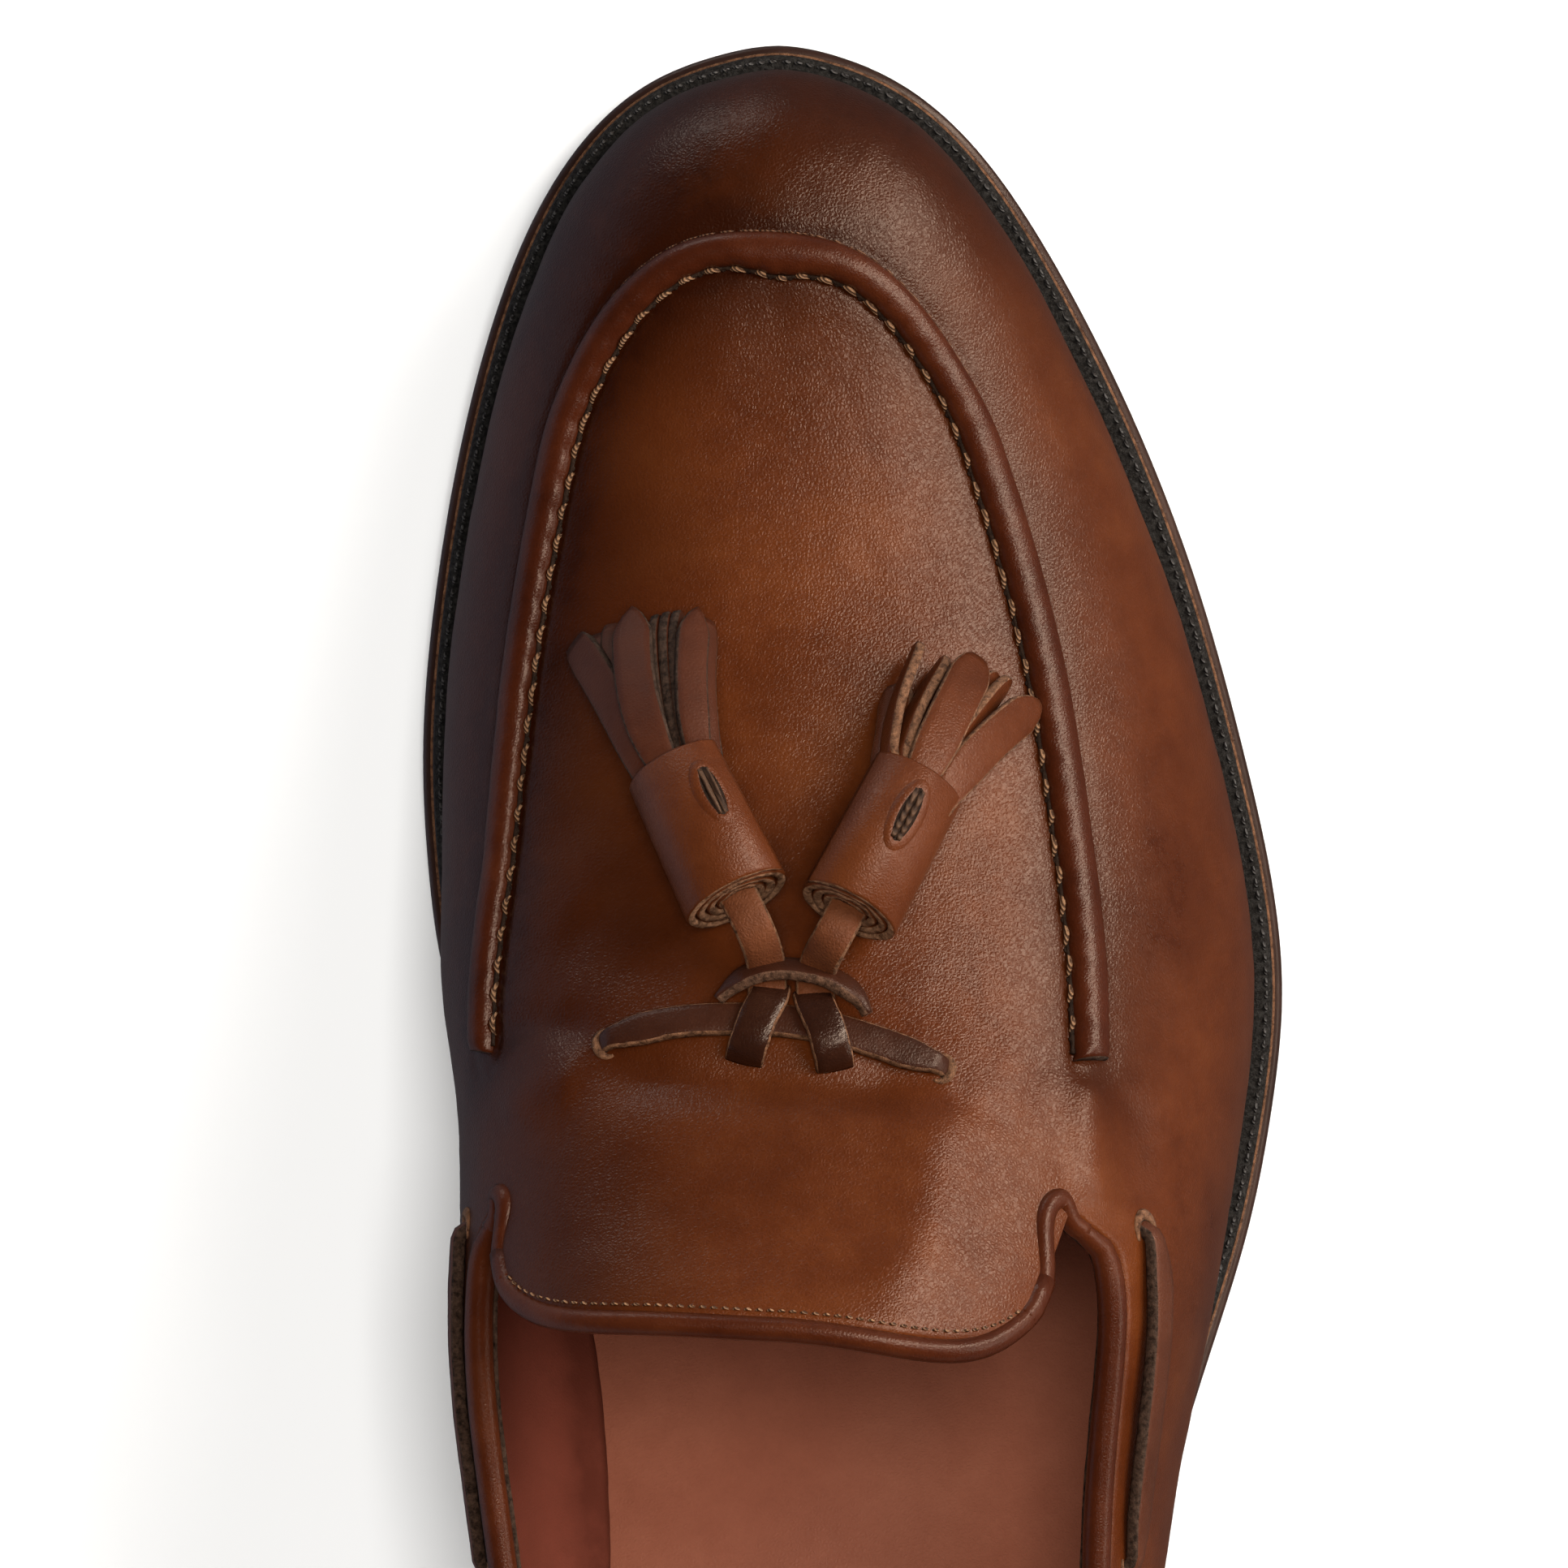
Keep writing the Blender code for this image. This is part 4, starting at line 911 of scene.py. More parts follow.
# Creases of the vamp: half width and depth in metres (a ridge is above 0), and plan places as shares
CREASE_DEPTH = 1.4
CREASES = (
    # width, depth, ((across, along), ...)
    (0.00340, -0.00085,
     ((-0.273, 0.5747), (-0.200, 0.5697), (-0.055, 0.5681), (0.072, 0.5654), (0.136, 0.5664))),
    (0.00220, -0.00050, ((-0.259, 0.5862), (-0.300, 0.5905), (-0.345, 0.5895), (-0.382, 0.5812))),
    (0.00400, 0.00050, ((-0.273, 0.5679), (-0.327, 0.5646), (-0.359, 0.5480))),
    (0.00300, 0.00080, ((0.290, 0.5708), (0.294, 0.5508), (0.297, 0.5307), (0.301, 0.5141))),
    (0.00500, 0.00060, ((0.134, 0.5635), (0.122, 0.5354), (0.099, 0.5023), (0.054, 0.4758))),
    (0.00060, -0.00017, ((0.134, 0.5633), (0.159, 0.5553), (0.186, 0.5487))),
    (0.00055, -0.00013, ((0.145, 0.5646), (0.177, 0.5553), (0.220, 0.5447))),
    (0.00060, -0.00014, ((0.271, 0.5311), (0.282, 0.5211), (0.294, 0.5111))),
    (0.00060, -0.00012, ((0.260, 0.5294), (0.273, 0.5194), (0.282, 0.5101))),
    (0.00070, -0.00015, ((0.246, 0.5777), (0.228, 0.5610), (0.220, 0.5411))),
    (0.00400, -0.00050, ((0.344, 0.5636), (0.348, 0.5369), (0.344, 0.5134))),
    (0.00500, -0.00035, ((-0.292, 0.6374), (-0.219, 0.6174), (-0.146, 0.6107))),
)


# The upper

LOWER_COLUMNS = 44
UPPER_COLUMNS = 40
SEAM_CROWDING = 0.5
SEAM_MERGE = 0.00012
ROLL_START = APRON_LINE[0][0]


def roll_or_notch_rise(side, station):
    """The rise that splits the vamp's columns: the notch, running over into the apron's roll."""
    blend = ease((station - NOTCH_STATION) / (ROLL_START - NOTCH_STATION))
    notch = wall_top(side, NOTCH_STATION)
    return notch + (apron_rise(side, max(station, ROLL_START)) - notch) * blend


def crowd(share):
    """Shares from 0 to 1 that crowd together towards 1."""
    return share + SEAM_CROWDING * math.sin(math.pi * share) / math.pi


def column_rises(side, station, over_ridge):
    """The rises of one column of the upper's points."""
    top = roll_or_notch_rise(side, station) if over_ridge else wall_top(side, station)
    rises = [top * crowd(i / LOWER_COLUMNS) for i in range(LOWER_COLUMNS + 1)]
    if over_ridge:
        rises += [2 - (2 - top) * crowd(1 - i / UPPER_COLUMNS) for i in range(1, UPPER_COLUMNS + 1)]
    return rises


def upper_surface():
    """The upper's outer face as a smooth bmesh: vamp, quarters and tongue on shared points."""
    data = bmesh.new()

    def add(rows):
        """Add a grid of quads."""
        verts = [[data.verts.new(point) for point in row] for row in rows]
        for near, far in zip(verts, verts[1:]):
            for corners in zip(near, near[1:], far[1:], far):
                data.faces.new(corners)

    for side in (-1, 1):
        vamp = sole_stations(NOTCH_STATION, 2, 84)[:-1] + sole_stations(2, 3, 70)
        add([[upper_point(side, s, rise) for rise in column_rises(side, s, True)] for s in vamp])
        quarter = sole_stations(0, 1, 44)[:-1] + sole_stations(1, NOTCH_STATION, 92)
        add([[upper_point(side, s, rise) for rise in column_rises(side, s, False)] for s in quarter])
    across = [crowd(1 - i / UPPER_COLUMNS) for i in range(UPPER_COLUMNS)]
    spread = [-value for value in across] + [0.0] + across[::-1]
    add([[tongue_point(c, share / 15) for c in spread] for share in range(16)])
    bmesh.ops.remove_doubles(data, verts=data.verts, dist=SEAM_MERGE)
    bmesh.ops.dissolve_degenerate(data, edges=data.edges, dist=0.00001)
    bmesh.ops.recalc_face_normals(data, faces=data.faces)
    crest = max(data.faces, key=lambda face: face.calc_center_median().z)
    if crest.normal.z < 0:
        bmesh.ops.reverse_faces(data, faces=data.faces)
    data.normal_update()
    return data


def line_distance(points, line):
    """How far each point is from a line through some places, and the share along the line nearest to it."""
    best = np.full(len(points), 1e9)
    place = np.zeros(len(points))
    line = np.array([tuple(p) for p in line])
    lengths = np.linalg.norm(np.diff(line, axis=0), axis=1)
    arc = np.concatenate([[0.0], np.cumsum(lengths)])
    for start, step, length, before in zip(line, np.diff(line, axis=0), lengths, arc):
        share = np.clip((points - start) @ step / max(length, 1e-9) ** 2, 0, 1)
        away = np.linalg.norm(points - start - share[:, None] * step, axis=1)
        nearer = away < best
        best[nearer] = away[nearer]
        place[nearer] = (before + share[nearer] * length) / arc[-1]
    return best, place


def hump(distance, width):
    """A soft bell over a distance, 1 in the middle."""
    return np.exp(-((distance / width) ** 2))


def soften(values, reach):
    """Rows averaged with their neighbours on both sides, the ends held."""
    before = 2 * values[:1] - values[reach:0:-1]
    after = 2 * values[-1:] - values[-2 : -reach - 2 : -1]
    padded = np.concatenate([before, values, after])
    window = np.full(2 * reach + 1, 1 / (2 * reach + 1))
    return np.stack([np.convolve(column, window, "valid") for column in padded.T], axis=1)


def roll_path(step_count):
    """The apron roll's middle line from its medial to its lateral end: (side, station, rise)."""
    stations = sole_stations(ROLL_START, 3, step_count)
    path = [(-1, station, apron_rise(-1, station)) for station in stations]
    return path + [(1, station, apron_rise(1, station)) for station in reversed(stations[:-1])]


ROLL_LINE = soften(np.array([tuple(upper_point(*place)) for place in roll_path(70)]), 2)
ROLL_FOOT = APRON_ROLL_WIDTH / 2 + 0.0002


# The darkening, 0 for none to 1 for the darkest: real burnishing on the toe, above the feather line and
# beside the roll, painted shade on the medial side and in the creases, over a plain base with blotches
TOE_BURNISH = 0.72
TOE_BURNISH_START = 0.84
TOE_BURNISH_LENGTH = 0.13
FOOT_BURNISH = 0.65
FOOT_BURNISH_REACH = 0.0045
SEAM_BURNISH = 0.50
SEAM_BURNISH_REACH = 0.0065
# Painted shade on the medial side, which the light from the outer side leaves darker
MEDIAL_PAINTED_SHADE = 0.55
MEDIAL_SHADE_START = 0.10
MEDIAL_SHADE_WIDTH = 0.20
# Painted shade in the hollows, per metre of their depth
CREASE_PAINTED_SHADE = 104.0
BASE_BURNISH = 0.16
BLOTCH_BURNISH = 0.20

# The uneven face of the leather: depth of the ditch at the roll's foot, and height of its waves
DITCH_DEPTH = 0.00030
DITCH_WIDTH = 0.0006
BROAD_WAVE = 0.00016
FINE_WAVE = 0.00007


def field(points, scale, seed):
    """Smooth noise at each point, between -1 and 1."""
    return np.array([noise.noise(Vector(p) * scale + Vector((seed, 0, 0))) for p in points])


def draw_relief(points, roll):
    """How far each point of the upper's face stands out from the plain last: roll is its distance from it."""
    relief = -DITCH_DEPTH * hump(roll - ROLL_FOOT, DITCH_WIDTH)
    for width, depth, places in CREASES:
        line = [on_vamp(*plan_place(across, along)) for across, along in places]
        away, share = line_distance(points, resample(line, 14))
        fade = np.clip(np.minimum(share, 1 - share) * 5 + 0.1, 0, 1)
        relief += CREASE_DEPTH * depth * hump(away, width) * fade
    return relief + BROAD_WAVE * field(points, 90, 3.0) + FINE_WAVE * field(points, 310, 9.0)


def draw_burnish_and_shade(points, roll, relief):
    """How dark each point of the upper's face is, 0 to 1: real burnishing and painted shade."""
    along = points[:, 1] / SHOE_LENGTH + 0.5
    toe = np.clip((along - TOE_BURNISH_START) / TOE_BURNISH_LENGTH, 0, 1)
    height = points[:, 2] - np.array([feather_height(y) for y in points[:, 1]])
    foot = hump(np.maximum(height, 0), FOOT_BURNISH_REACH)
    seam = hump(roll, SEAM_BURNISH_REACH)
    # Painted shade: darker towards the medial side, away from the light.
    medial = np.clip((-points[:, 0] / BALL_WIDTH - MEDIAL_SHADE_START) / MEDIAL_SHADE_WIDTH, 0, 1)
    dark = BASE_BURNISH + BLOTCH_BURNISH * field(points, 42, 21.0)
    dark += TOE_BURNISH * toe + FOOT_BURNISH * foot + SEAM_BURNISH * seam + MEDIAL_PAINTED_SHADE * medial
    # Painted shade in the hollows of the relief: creases, the ditch at the roll's foot and the low waves.
    return np.clip(dark - CREASE_PAINTED_SHADE * np.minimum(relief, 0), 0, 1)


def build_upper():
    """The upper with its creases, lined inside."""
    data = upper_surface()
    points = np.array([tuple(vert.co) for vert in data.verts])
    normals = np.array([tuple(vert.normal) for vert in data.verts])
    faces = [[vert.index for vert in face.verts] for face in data.faces]
    data.free()
    roll, _ = line_distance(points, ROLL_LINE)
    relief = draw_relief(points, roll)
    dark = draw_burnish_and_shade(points, roll, relief)
    points = points + normals * relief[:, None]
    SURFACE["outside"] = BVHTree.FromPolygons(points.tolist(), faces)
    surfaces = [LEATHER["burnished_upper"], LEATHER["lining_leather"]]
    piece = make_piece(
        "upper_leather", points.tolist(), faces, surfaces, replaces=["upper"], slot="burnished_leather"
    )
    # The darkening holds real burnishing and painted shade.
    burnish_and_shade = piece.data.attributes.new("burnish_and_shade", "FLOAT", "POINT")
    burnish_and_shade.data.foreach_set("value", dark)
    wall = piece.modifiers.new("wall", "SOLIDIFY")
    wall.thickness = UPPER_WALL
    wall.offset = -1.0
    wall.material_offset = 1


# The apron's roll and its stitches

ROLL_SINK = 0.0004
ROLL_STEP = 0.00048
ROLL_SCALLOP = 0.07
ROLL_CROWN = 1.08 * APRON_ROLL_HEIGHT
ROLL_END_FALL = 0.0012
ROLL_SHARES = (0.0, 0.3, 0.5, 0.7, 1.0)
ROLL_WIDTHS = (0.0040, 0.0047, 0.0054, 0.0051, 0.0049)
STITCH_PITCH = 0.0038
STITCH_REACH = 0.34
STITCH_RADIUS = 0.00036
STITCH_HOLE = 0.00042
FINE_STITCH_PITCH = 0.0021
FINE_STITCH_REACH = 0.86
FINE_STITCH_RADIUS = 0.00013
THREAD_SAG = 0.35


def frame_at(side, station, rise):
    """A place on the upper: point, outward normal and the direction up the wall towards the ridge."""
    point = upper_point(side, station, rise)
    normal = upper_normal(side, station, rise)
    step = 0.01
    above = upper_point(side, station, min(rise + step, 2))
    below = upper_point(side, station, rise - step)
    return point, normal, (above - below).normalized()


def spaced_frames(path, spacing, reach=0):
    """Even frames along a path of (side, station, rise): distance, settled point, normal and way up."""
    frames = np.array([[tuple(part) for part in frame_at(*place)] for place in path]).reshape(len(path), 9)
    arc = np.concatenate([[0.0], np.cumsum(np.linalg.norm(np.diff(frames[:, :3], axis=0), axis=1))])
    spots = np.linspace(0, arc[-1], int(round(arc[-1] / spacing)) + 1)
    spread = np.stack([np.interp(spots, arc, column) for column in frames.T], axis=1)
    if reach:
        spread = soften(spread, reach)
    result = []
    for spot, values in zip(spots, spread):
        point, normal, upward = Vector(values[:3]), Vector(values[3:6]), Vector(values[6:])
        normal = normal.normalized()
        result.append((spot, settle(point, normal), normal, upward.normalized()))
    return result


def roll_width(share):
    """The roll's width along its line: narrower on the medial side, wider at the toe."""
    return float(np.interp(share, ROLL_SHARES, ROLL_WIDTHS))


def build_roll(frames):
    """The raised roll of the moccasin apron, pinched on its inner side by each stitch."""
    rows = []
    total = frames[-1][0]
    for spot, point, normal, upward in frames:
        width = roll_width(spot / total)
        pinch = abs(math.cos(math.pi * spot / STITCH_PITCH)) ** 3 * ROLL_SCALLOP
        height = ROLL_CROWN * (0.80 + 0.20 * ease(min(spot, total - spot) / ROLL_END_FALL))
        row = []
        for i in range(15):
            turn = math.pi * (i / 14)
            squeeze = pinch * max(math.cos(turn), 0) * 0.9
            across = math.cos(turn) * width / 2 * (1 - squeeze)
            lift = height * abs(math.sin(turn)) ** 0.8 * (1 - squeeze * 1.1)
            row.append(point + upward * across + normal * lift)
        row.append(point - upward * width / 2 - normal * ROLL_SINK)
        row.append(point + upward * width / 2 * (1 - pinch) - normal * ROLL_SINK)
        rows.append(row)
    parts = Parts()
    parts.grid(rows, wrap_columns=True, caps=True, cap_slot=1)
    surfaces = [LEATHER["polished_roll"], EDGE["dark_raw_edge"]]
    parts.make("apron_roll_leather", surfaces, replaces=["apron_roll"], slot="polished_brown")


def stitch(parts, start, end, normal, radius):
    """One stitch of thread from hole to hole, arched over the leather."""
    run = end - start
    across = run.cross(normal).normalized()
    rows = []
    for i in range(7):
        arch = math.sin(math.pi * i / 6)
        centre = start + run * (i / 6) + normal * radius * (arch * (1 + THREAD_SAG) - THREAD_SAG)
        girth = radius * (0.62 + 0.38 * arch)
        rows.append(ellipse(centre, across * girth, normal * girth, 8))
    parts.grid(rows, wrap_columns=True, caps=True)


def hole(parts, centre, normal, radius):
    """A low dimple round a stitch's end, dark with painted shade of the hole."""
    across = normal.orthogonal().normalized() * radius
    beside = normal.cross(across)
    rows = [
        ellipse(centre + normal * lift, across * girth, beside * girth, 8)
        for girth, lift in ((1.0, -0.00012), (0.8, 0.00003), (0.05, 0.00005))
    ]
    parts.grid(rows, wrap_columns=True, caps=True)


def build_roll_stitches(frames):
    """Thick stitches along the roll's inner foot, with a ragged dark line of painted shade in the groove, and
    a fine thread outside.
    """
    thick, fine, hole_shades = Parts(), Parts(), Parts()
    total = frames[-1][0]
    spots = np.array([frame[0] for frame in frames])

    def beside(spot, offset, lift):
        """A place past the roll's inner foot, or its outer foot for an offset below 0, and the normal."""
        _, point, normal, upward = frames[int(np.argmin(np.abs(spots - spot)))]
        foot = math.copysign(roll_width(spot / total) / 2, offset)
        return point + upward * (foot + offset) + normal * lift, normal

    for i in range(1, int(total / STITCH_PITCH)):
        middle = i * STITCH_PITCH
        wobble = 0.00008 * math.sin(i * 2.7)
        start, normal = beside(middle - STITCH_PITCH * STITCH_REACH, 0.00015 + wobble, -0.0001)
        end, _ = beside(middle + STITCH_PITCH * STITCH_REACH, 0.00035 + wobble, -0.0001)
        stitch(thick, start, end, normal, STITCH_RADIUS)
        hole(hole_shades, *beside(middle + STITCH_PITCH / 2, 0.0002, -0.0001), STITCH_HOLE)
    for i in range(int(total / FINE_STITCH_PITCH)):
        start, normal = beside(i * FINE_STITCH_PITCH, -0.00010, 0.00012)
        end, _ = beside((i + FINE_STITCH_REACH) * FINE_STITCH_PITCH, -0.00010, 0.00012)
        stitch(fine, start, end, normal, FINE_STITCH_RADIUS)
    # A ragged line of painted shade along the groove at the roll's inner foot
    centres, normals = zip(*(beside(spot, 0.00012, -0.00008) for spot in spots[2:-2]))
    girths = [0.00030 + 0.00012 * noise.noise(centre * 900) for centre in centres]

    def ragged(share):
        """The painted shade line's section, of uneven girth."""
        return round_section(girths[int(round(share * (len(girths) - 1)))], 6)

    sweep(hole_shades, centres, normals, ragged)
    thick.make("roll_stitches", [THREAD["tan_thread"]], slot="lace_leather")
    fine.make("roll_outer_thread", [THREAD["fine_thread"]], slot="lace_leather")
    hole_shades.make("roll_stitch_hole_shade", [EDGE["painted_hole_shade"]], slot="lace_leather")


# The bound edges

COLLAR_ROLL_RADIUS = 0.00175
COLLAR_ROLL_SHORT = 0.004
TONGUE_ROLL_RADIUS = 0.00150
TONGUE_ROLL_SPAN = 0.985
FOLD_RADIUS = 0.00135
TONGUE_STITCH_PITCH = 0.00135
TONGUE_STITCH_INSET = 0.0013
TONGUE_STITCH_SPAN = 0.93
TONGUE_STITCH_RADIUS = 0.00018


def swept_piece(name, centres, ups, section, surface, **options):
    """A piece that is one section swept along one line."""
    parts = Parts()
    sweep(parts, centres, ups, section)
    parts.make(name, [surface], **options)


def build_collar_roll():
    """The rolled edge of the collar from notch to notch, and the lining's raw edge inside it."""
    stations = sole_stations(0, NOTCH_STATION - COLLAR_ROLL_SHORT, 150)
    line = [(-1, station) for station in reversed(stations)] + [(1, station) for station in stations[1:]]
    centres, inner, ups = [], [], []
    for side, station in line:
        rim, normal, upward = frame_at(side, station, wall_top(side, station))
        ragged = 0.00012 * noise.noise(Vector((station * 60, side * 5, 0)))
        centres.append(rim - normal * UPPER_WALL * 0.5 + upward * COLLAR_ROLL_RADIUS * 0.72)
        inner.append(rim - normal * (UPPER_WALL + 0.0004 + ragged) + upward * 0.0009)
        ups.append(upward)

    def ring(share):
        """The roll's section, which closes in over its last four steps."""
        end = min(min(share, 1 - share) * (len(centres) - 1) / 4, 1.0)
        size = math.sqrt(end * (2 - end)) * 0.85 + 0.15
        wave = 1 + 0.03 * noise.noise(Vector((share * 90, 0, 0)))
        return round_section(COLLAR_ROLL_RADIUS * size * wave, 14)

    polished = {"replaces": ["collar_binding"], "slot": "polished_brown"}
    swept_piece("collar_roll", centres, ups, ring, LEATHER["polished_roll"], **polished)
    lining = flat_section(0.0016, 0.0005)
    swept_piece("lining_edge", inner, ups, lining, EDGE["dark_raw_edge"], slot="insole_tan")


def build_tongue_roll():
    """The narrower rolled edge of the tongue. Returns its middle line."""
    centres, ups = [], []
    for i in range(-70, 71):
        across = TONGUE_ROLL_SPAN * i / 70
        rim = tongue_point(across, 1.0)
        outward = (rim - tongue_point(across * 0.98, 0.9)).normalized()
        normal = tongue_point(across, 1.0, upper_normal)
        centres.append(rim - normal * UPPER_WALL * 0.35 + outward * TONGUE_ROLL_RADIUS * 0.6)
        ups.append(normal)
    polished = {"replaces": ["tongue_binding"], "slot": "polished_brown"}
    section_points = round_section(TONGUE_ROLL_RADIUS, 12)
    swept_piece("tongue_roll", centres, ups, section_points, LEATHER["polished_roll"], **polished)
    return centres


def build_notch_folds(tongue_line):
    """The short bend that carries the tongue's rolled edge round each notch into the collar's."""
    parts = Parts()

    def girth(share):
        """The fold's section, from the tongue's girth to its own."""
        return round_section(TONGUE_ROLL_RADIUS + (FOLD_RADIUS - TONGUE_ROLL_RADIUS) * ease(share / 0.4), 12)

    ends = ((-1, tongue_line[0], tongue_line[3]), (1, tongue_line[-1], tongue_line[-4]))
    for side, tongue_end, before in ends:
        collar = []
        for station in (NOTCH_STATION - COLLAR_ROLL_SHORT, NOTCH_STATION - COLLAR_ROLL_SHORT - 0.010):
            rim, normal, upward = frame_at(side, station, wall_top(side, station))
            collar.append(rim - normal * UPPER_WALL * 0.5 + upward * COLLAR_ROLL_RADIUS * 0.5)
        point, normal, upward = frame_at(side, NOTCH_STATION + 0.007, wall_top(side, NOTCH_STATION))
        crown = point + upward * 0.0008 - normal * FOLD_RADIUS * 0.25
        line = [before, tongue_end, crown + upward * 0.0012, crown, collar[0], collar[1]]
        even = np.array([tuple(place) for place in resample(line, 44)])
        centres = [Vector(place) for place in soften(even, 4)]
        sweep(parts, centres, [normal] * len(centres), girth)
    parts.make("notch_folds", [LEATHER["polished_roll"]], slot="polished_brown")


def build_tongue_stitches():
    """The fine stitches inside the tongue's rolled edge."""
    parts = Parts()
    inset = 1 - TONGUE_STITCH_INSET / TONGUE_LENGTH
    places = [TONGUE_STITCH_SPAN * i / 120 for i in range(-120, 121)]
    line = [tongue_point(across, inset) for across in places]
    normals = [tongue_point(across, inset, upper_normal) for across in places]
    arc = np.concatenate([[0.0], np.cumsum([(b - a).length for a, b in zip(line, line[1:])])])
    for i in range(int(arc[-1] / TONGUE_STITCH_PITCH)):
        steps = [(i + share) * TONGUE_STITCH_PITCH for share in (0.15, 0.80)]
        spots = np.interp(steps, arc, range(len(line)))
        normal = normals[int(spots[0])]
        ends = [line[int(spot)].lerp(line[min(int(spot) + 1, len(line) - 1)], spot % 1) for spot in spots]
        start, end = [settle(spot, normal) + normal * 0.00006 for spot in ends]
        stitch(parts, start, end, normal, TONGUE_STITCH_RADIUS)
    parts.make("tongue_stitches", [THREAD["tan_thread"]], slot="lace_leather")


# The laces

LACE_LIFT = 0.0001
RIBBON_DIP = 0.0020
RIBBON_TAPER = 0.0080
RIBBON_SINK = 0.0004
LATERAL_LACE_BOW = 0.0007
BAR_THICKNESS = 0.0012
BAR_SINK = 0.0003


def build_ribbon(name, node, path, spacing, bow=0.0):
    """The collar lace along a path on the upper, its ends dipping through the leather. Returns its frames."""
    frames = spaced_frames(path, spacing)
    total = frames[-1][0]
    centres, ups = [], []
    for spot, point, normal, _ in frames:
        down = 1 - ease(min(spot, total - spot) / RIBBON_DIP)
        lift = LACE_THICKNESS / 2 + LACE_LIFT + bow * math.sin(math.pi * spot / total)
        centres.append(point + normal * (lift - down * (LACE_THICKNESS + RIBBON_SINK)))
        ups.append(normal)

    def outline(share):
        """The lace's section, narrower towards its ends."""
        end = min(share, 1 - share) * total
        width = LACE_WIDTH * (0.5 + 0.5 * ease(end / RIBBON_TAPER))
        return flat_section(width, LACE_THICKNESS, crown=LACE_THICKNESS * 0.12)

    parts = Parts()
    sweep_flat(parts, centres, ups, outline)
    surfaces = [LEATHER["side_lace_leather"], EDGE["dark_raw_edge"]]
    parts.make(name, surfaces, replaces=[node], slot="lace_leather")
    return frames


def slot_mark(parts, point, normal, along, length, width):
    """A cut in the leather where a lace goes in, dark with painted shade inside it."""
    first = along * length / 2
    second = along.cross(normal).normalized() * width / 2
    rows = []
    for size, lift in ((1.0, -0.0003), (0.9, 0.00004), (0.06, 0.00006)):
        spots = ellipse(point, first * size, second * size, 20)
        rows.append([settle(spot, normal) + normal * lift for spot in spots])
    parts.grid(rows, wrap_columns=True, caps=True)


def slot_lip(parts, point, normal, away, reach, width, girth):
    """The raw lip of a slot, curved round the end of the lace: away points past that end."""
    beside = away.cross(normal).normalized()
    turns = [math.radians(8 * j - 104) for j in range(27)]
    spots = [point + away * reach * math.cos(turn) + beside * width / 2 * math.sin(turn) for turn in turns]
    centres = [settle(spot, normal) for spot in spots]

    def lip(share):
        """The lip's section, thin at both ends."""
        return round_section(girth * (0.30 + 0.70 * math.sin(math.pi * share)), 10, 0.75)

    sweep(parts, centres, [normal] * len(centres), lip)


def build_side_laces():
    """The collar lace where it shows, along each side and round the heel. Returns the cuts and their lips."""
    cuts, lips = Parts(), Parts()
    first, last = station_at(SIDE_LACE_BACK), station_at(SIDE_LACE_FRONT)
    for side, name, bow in ((-1, "medial", 0.0), (1, "lateral", LATERAL_LACE_BOW)):
        path = [(side, s, lace_rise(side, s)) for s in sole_stations(first, last, 60)]
        frames = build_ribbon("side_lace_" + name, "lace_side_" + name, path, 0.0008, bow)
        for (_, point, normal, _), beyond in ((frames[1], frames[0]), (frames[-2], frames[-1])):
            away = (beyond[1] - point).normalized()
            slot_mark(cuts, point, normal, away, 0.0026, LACE_WIDTH * 0.60)
            slot_lip(lips, point - away * 0.0006, normal, away, 0.0024, LACE_WIDTH * 0.84, 0.00070)
    stations = sole_stations(0, station_at(HEEL_LACE_FRONT), 70)
    around = [(-1, s) for s in reversed(stations)] + [(1, s) for s in stations[1:]]
    path = [(side, s, lace_rise(side, s)) for side, s in around]
    frames = build_ribbon("heel_lace", "lace_heel", path, 0.0010)
    for _, point, normal, upward in (frames[1], frames[-2]):
        slot_mark(cuts, point, normal, upward, LACE_WIDTH * 1.16, 0.0028)
    return cuts, lips


def plan_line(places, count, lift=0.0):
    """An even line over the vamp through plan places given as (x, y, lift) in metres."""
    points, ups = [], []
    for x, y, extra in resample(places, count):
        base, normal = drop(x, y)
        points.append(base + normal * (lift + extra))
        ups.append(normal)
    return points, ups


def build_bar(cuts, lips):
    """The lace across the vamp between its two slots, and with it all the slots' cuts and lips."""
    places = [(*plan_place(*place), 0.0) for place in BAR_LINE]
    centres, ups = plan_line(places, 70, BAR_THICKNESS / 2 + LACE_LIFT)
    last = len(centres) - 1
    for i in range(last + 1):
        down = 1 - ease(min(i, last - i) / 3)
        centres[i] = centres[i] - ups[i] * down * (BAR_THICKNESS + BAR_SINK)

    def outline(share):
        """The bar's section, narrower towards its slots."""
        width = LACE_WIDTH * (0.88 - 0.38 * (1 - ease(min(share, 1 - share) / 0.14)))
        return flat_section(width, BAR_THICKNESS, crown=BAR_THICKNESS * 0.08)

    parts = Parts()
    sweep_flat(parts, centres, ups, outline)
    surfaces = [LEATHER["lace_leather_dark"], EDGE["tan_raw_edge"]]
    parts.make("bar_lace", surfaces, replaces=["lace_bar"], slot="lace_leather")
    for i, j in ((1, 4), (last - 1, last - 4)):
        inward = (centres[j] - centres[i]).normalized()
        base, normal = drop(centres[i].x, centres[i].y)
        slot_mark(cuts, base, normal, inward, 0.0022, LACE_WIDTH * 0.56)
        slot_lip(lips, base + inward * 0.0006, normal, -inward, 0.0016, LACE_WIDTH * 0.78, 0.00062)
    cuts.make("lace_slots", [EDGE["painted_hole_shade"]], slot="lace_leather")
    lips.make("lace_slot_edges", [EDGE["tan_raw_edge"]], slot="lace_leather")


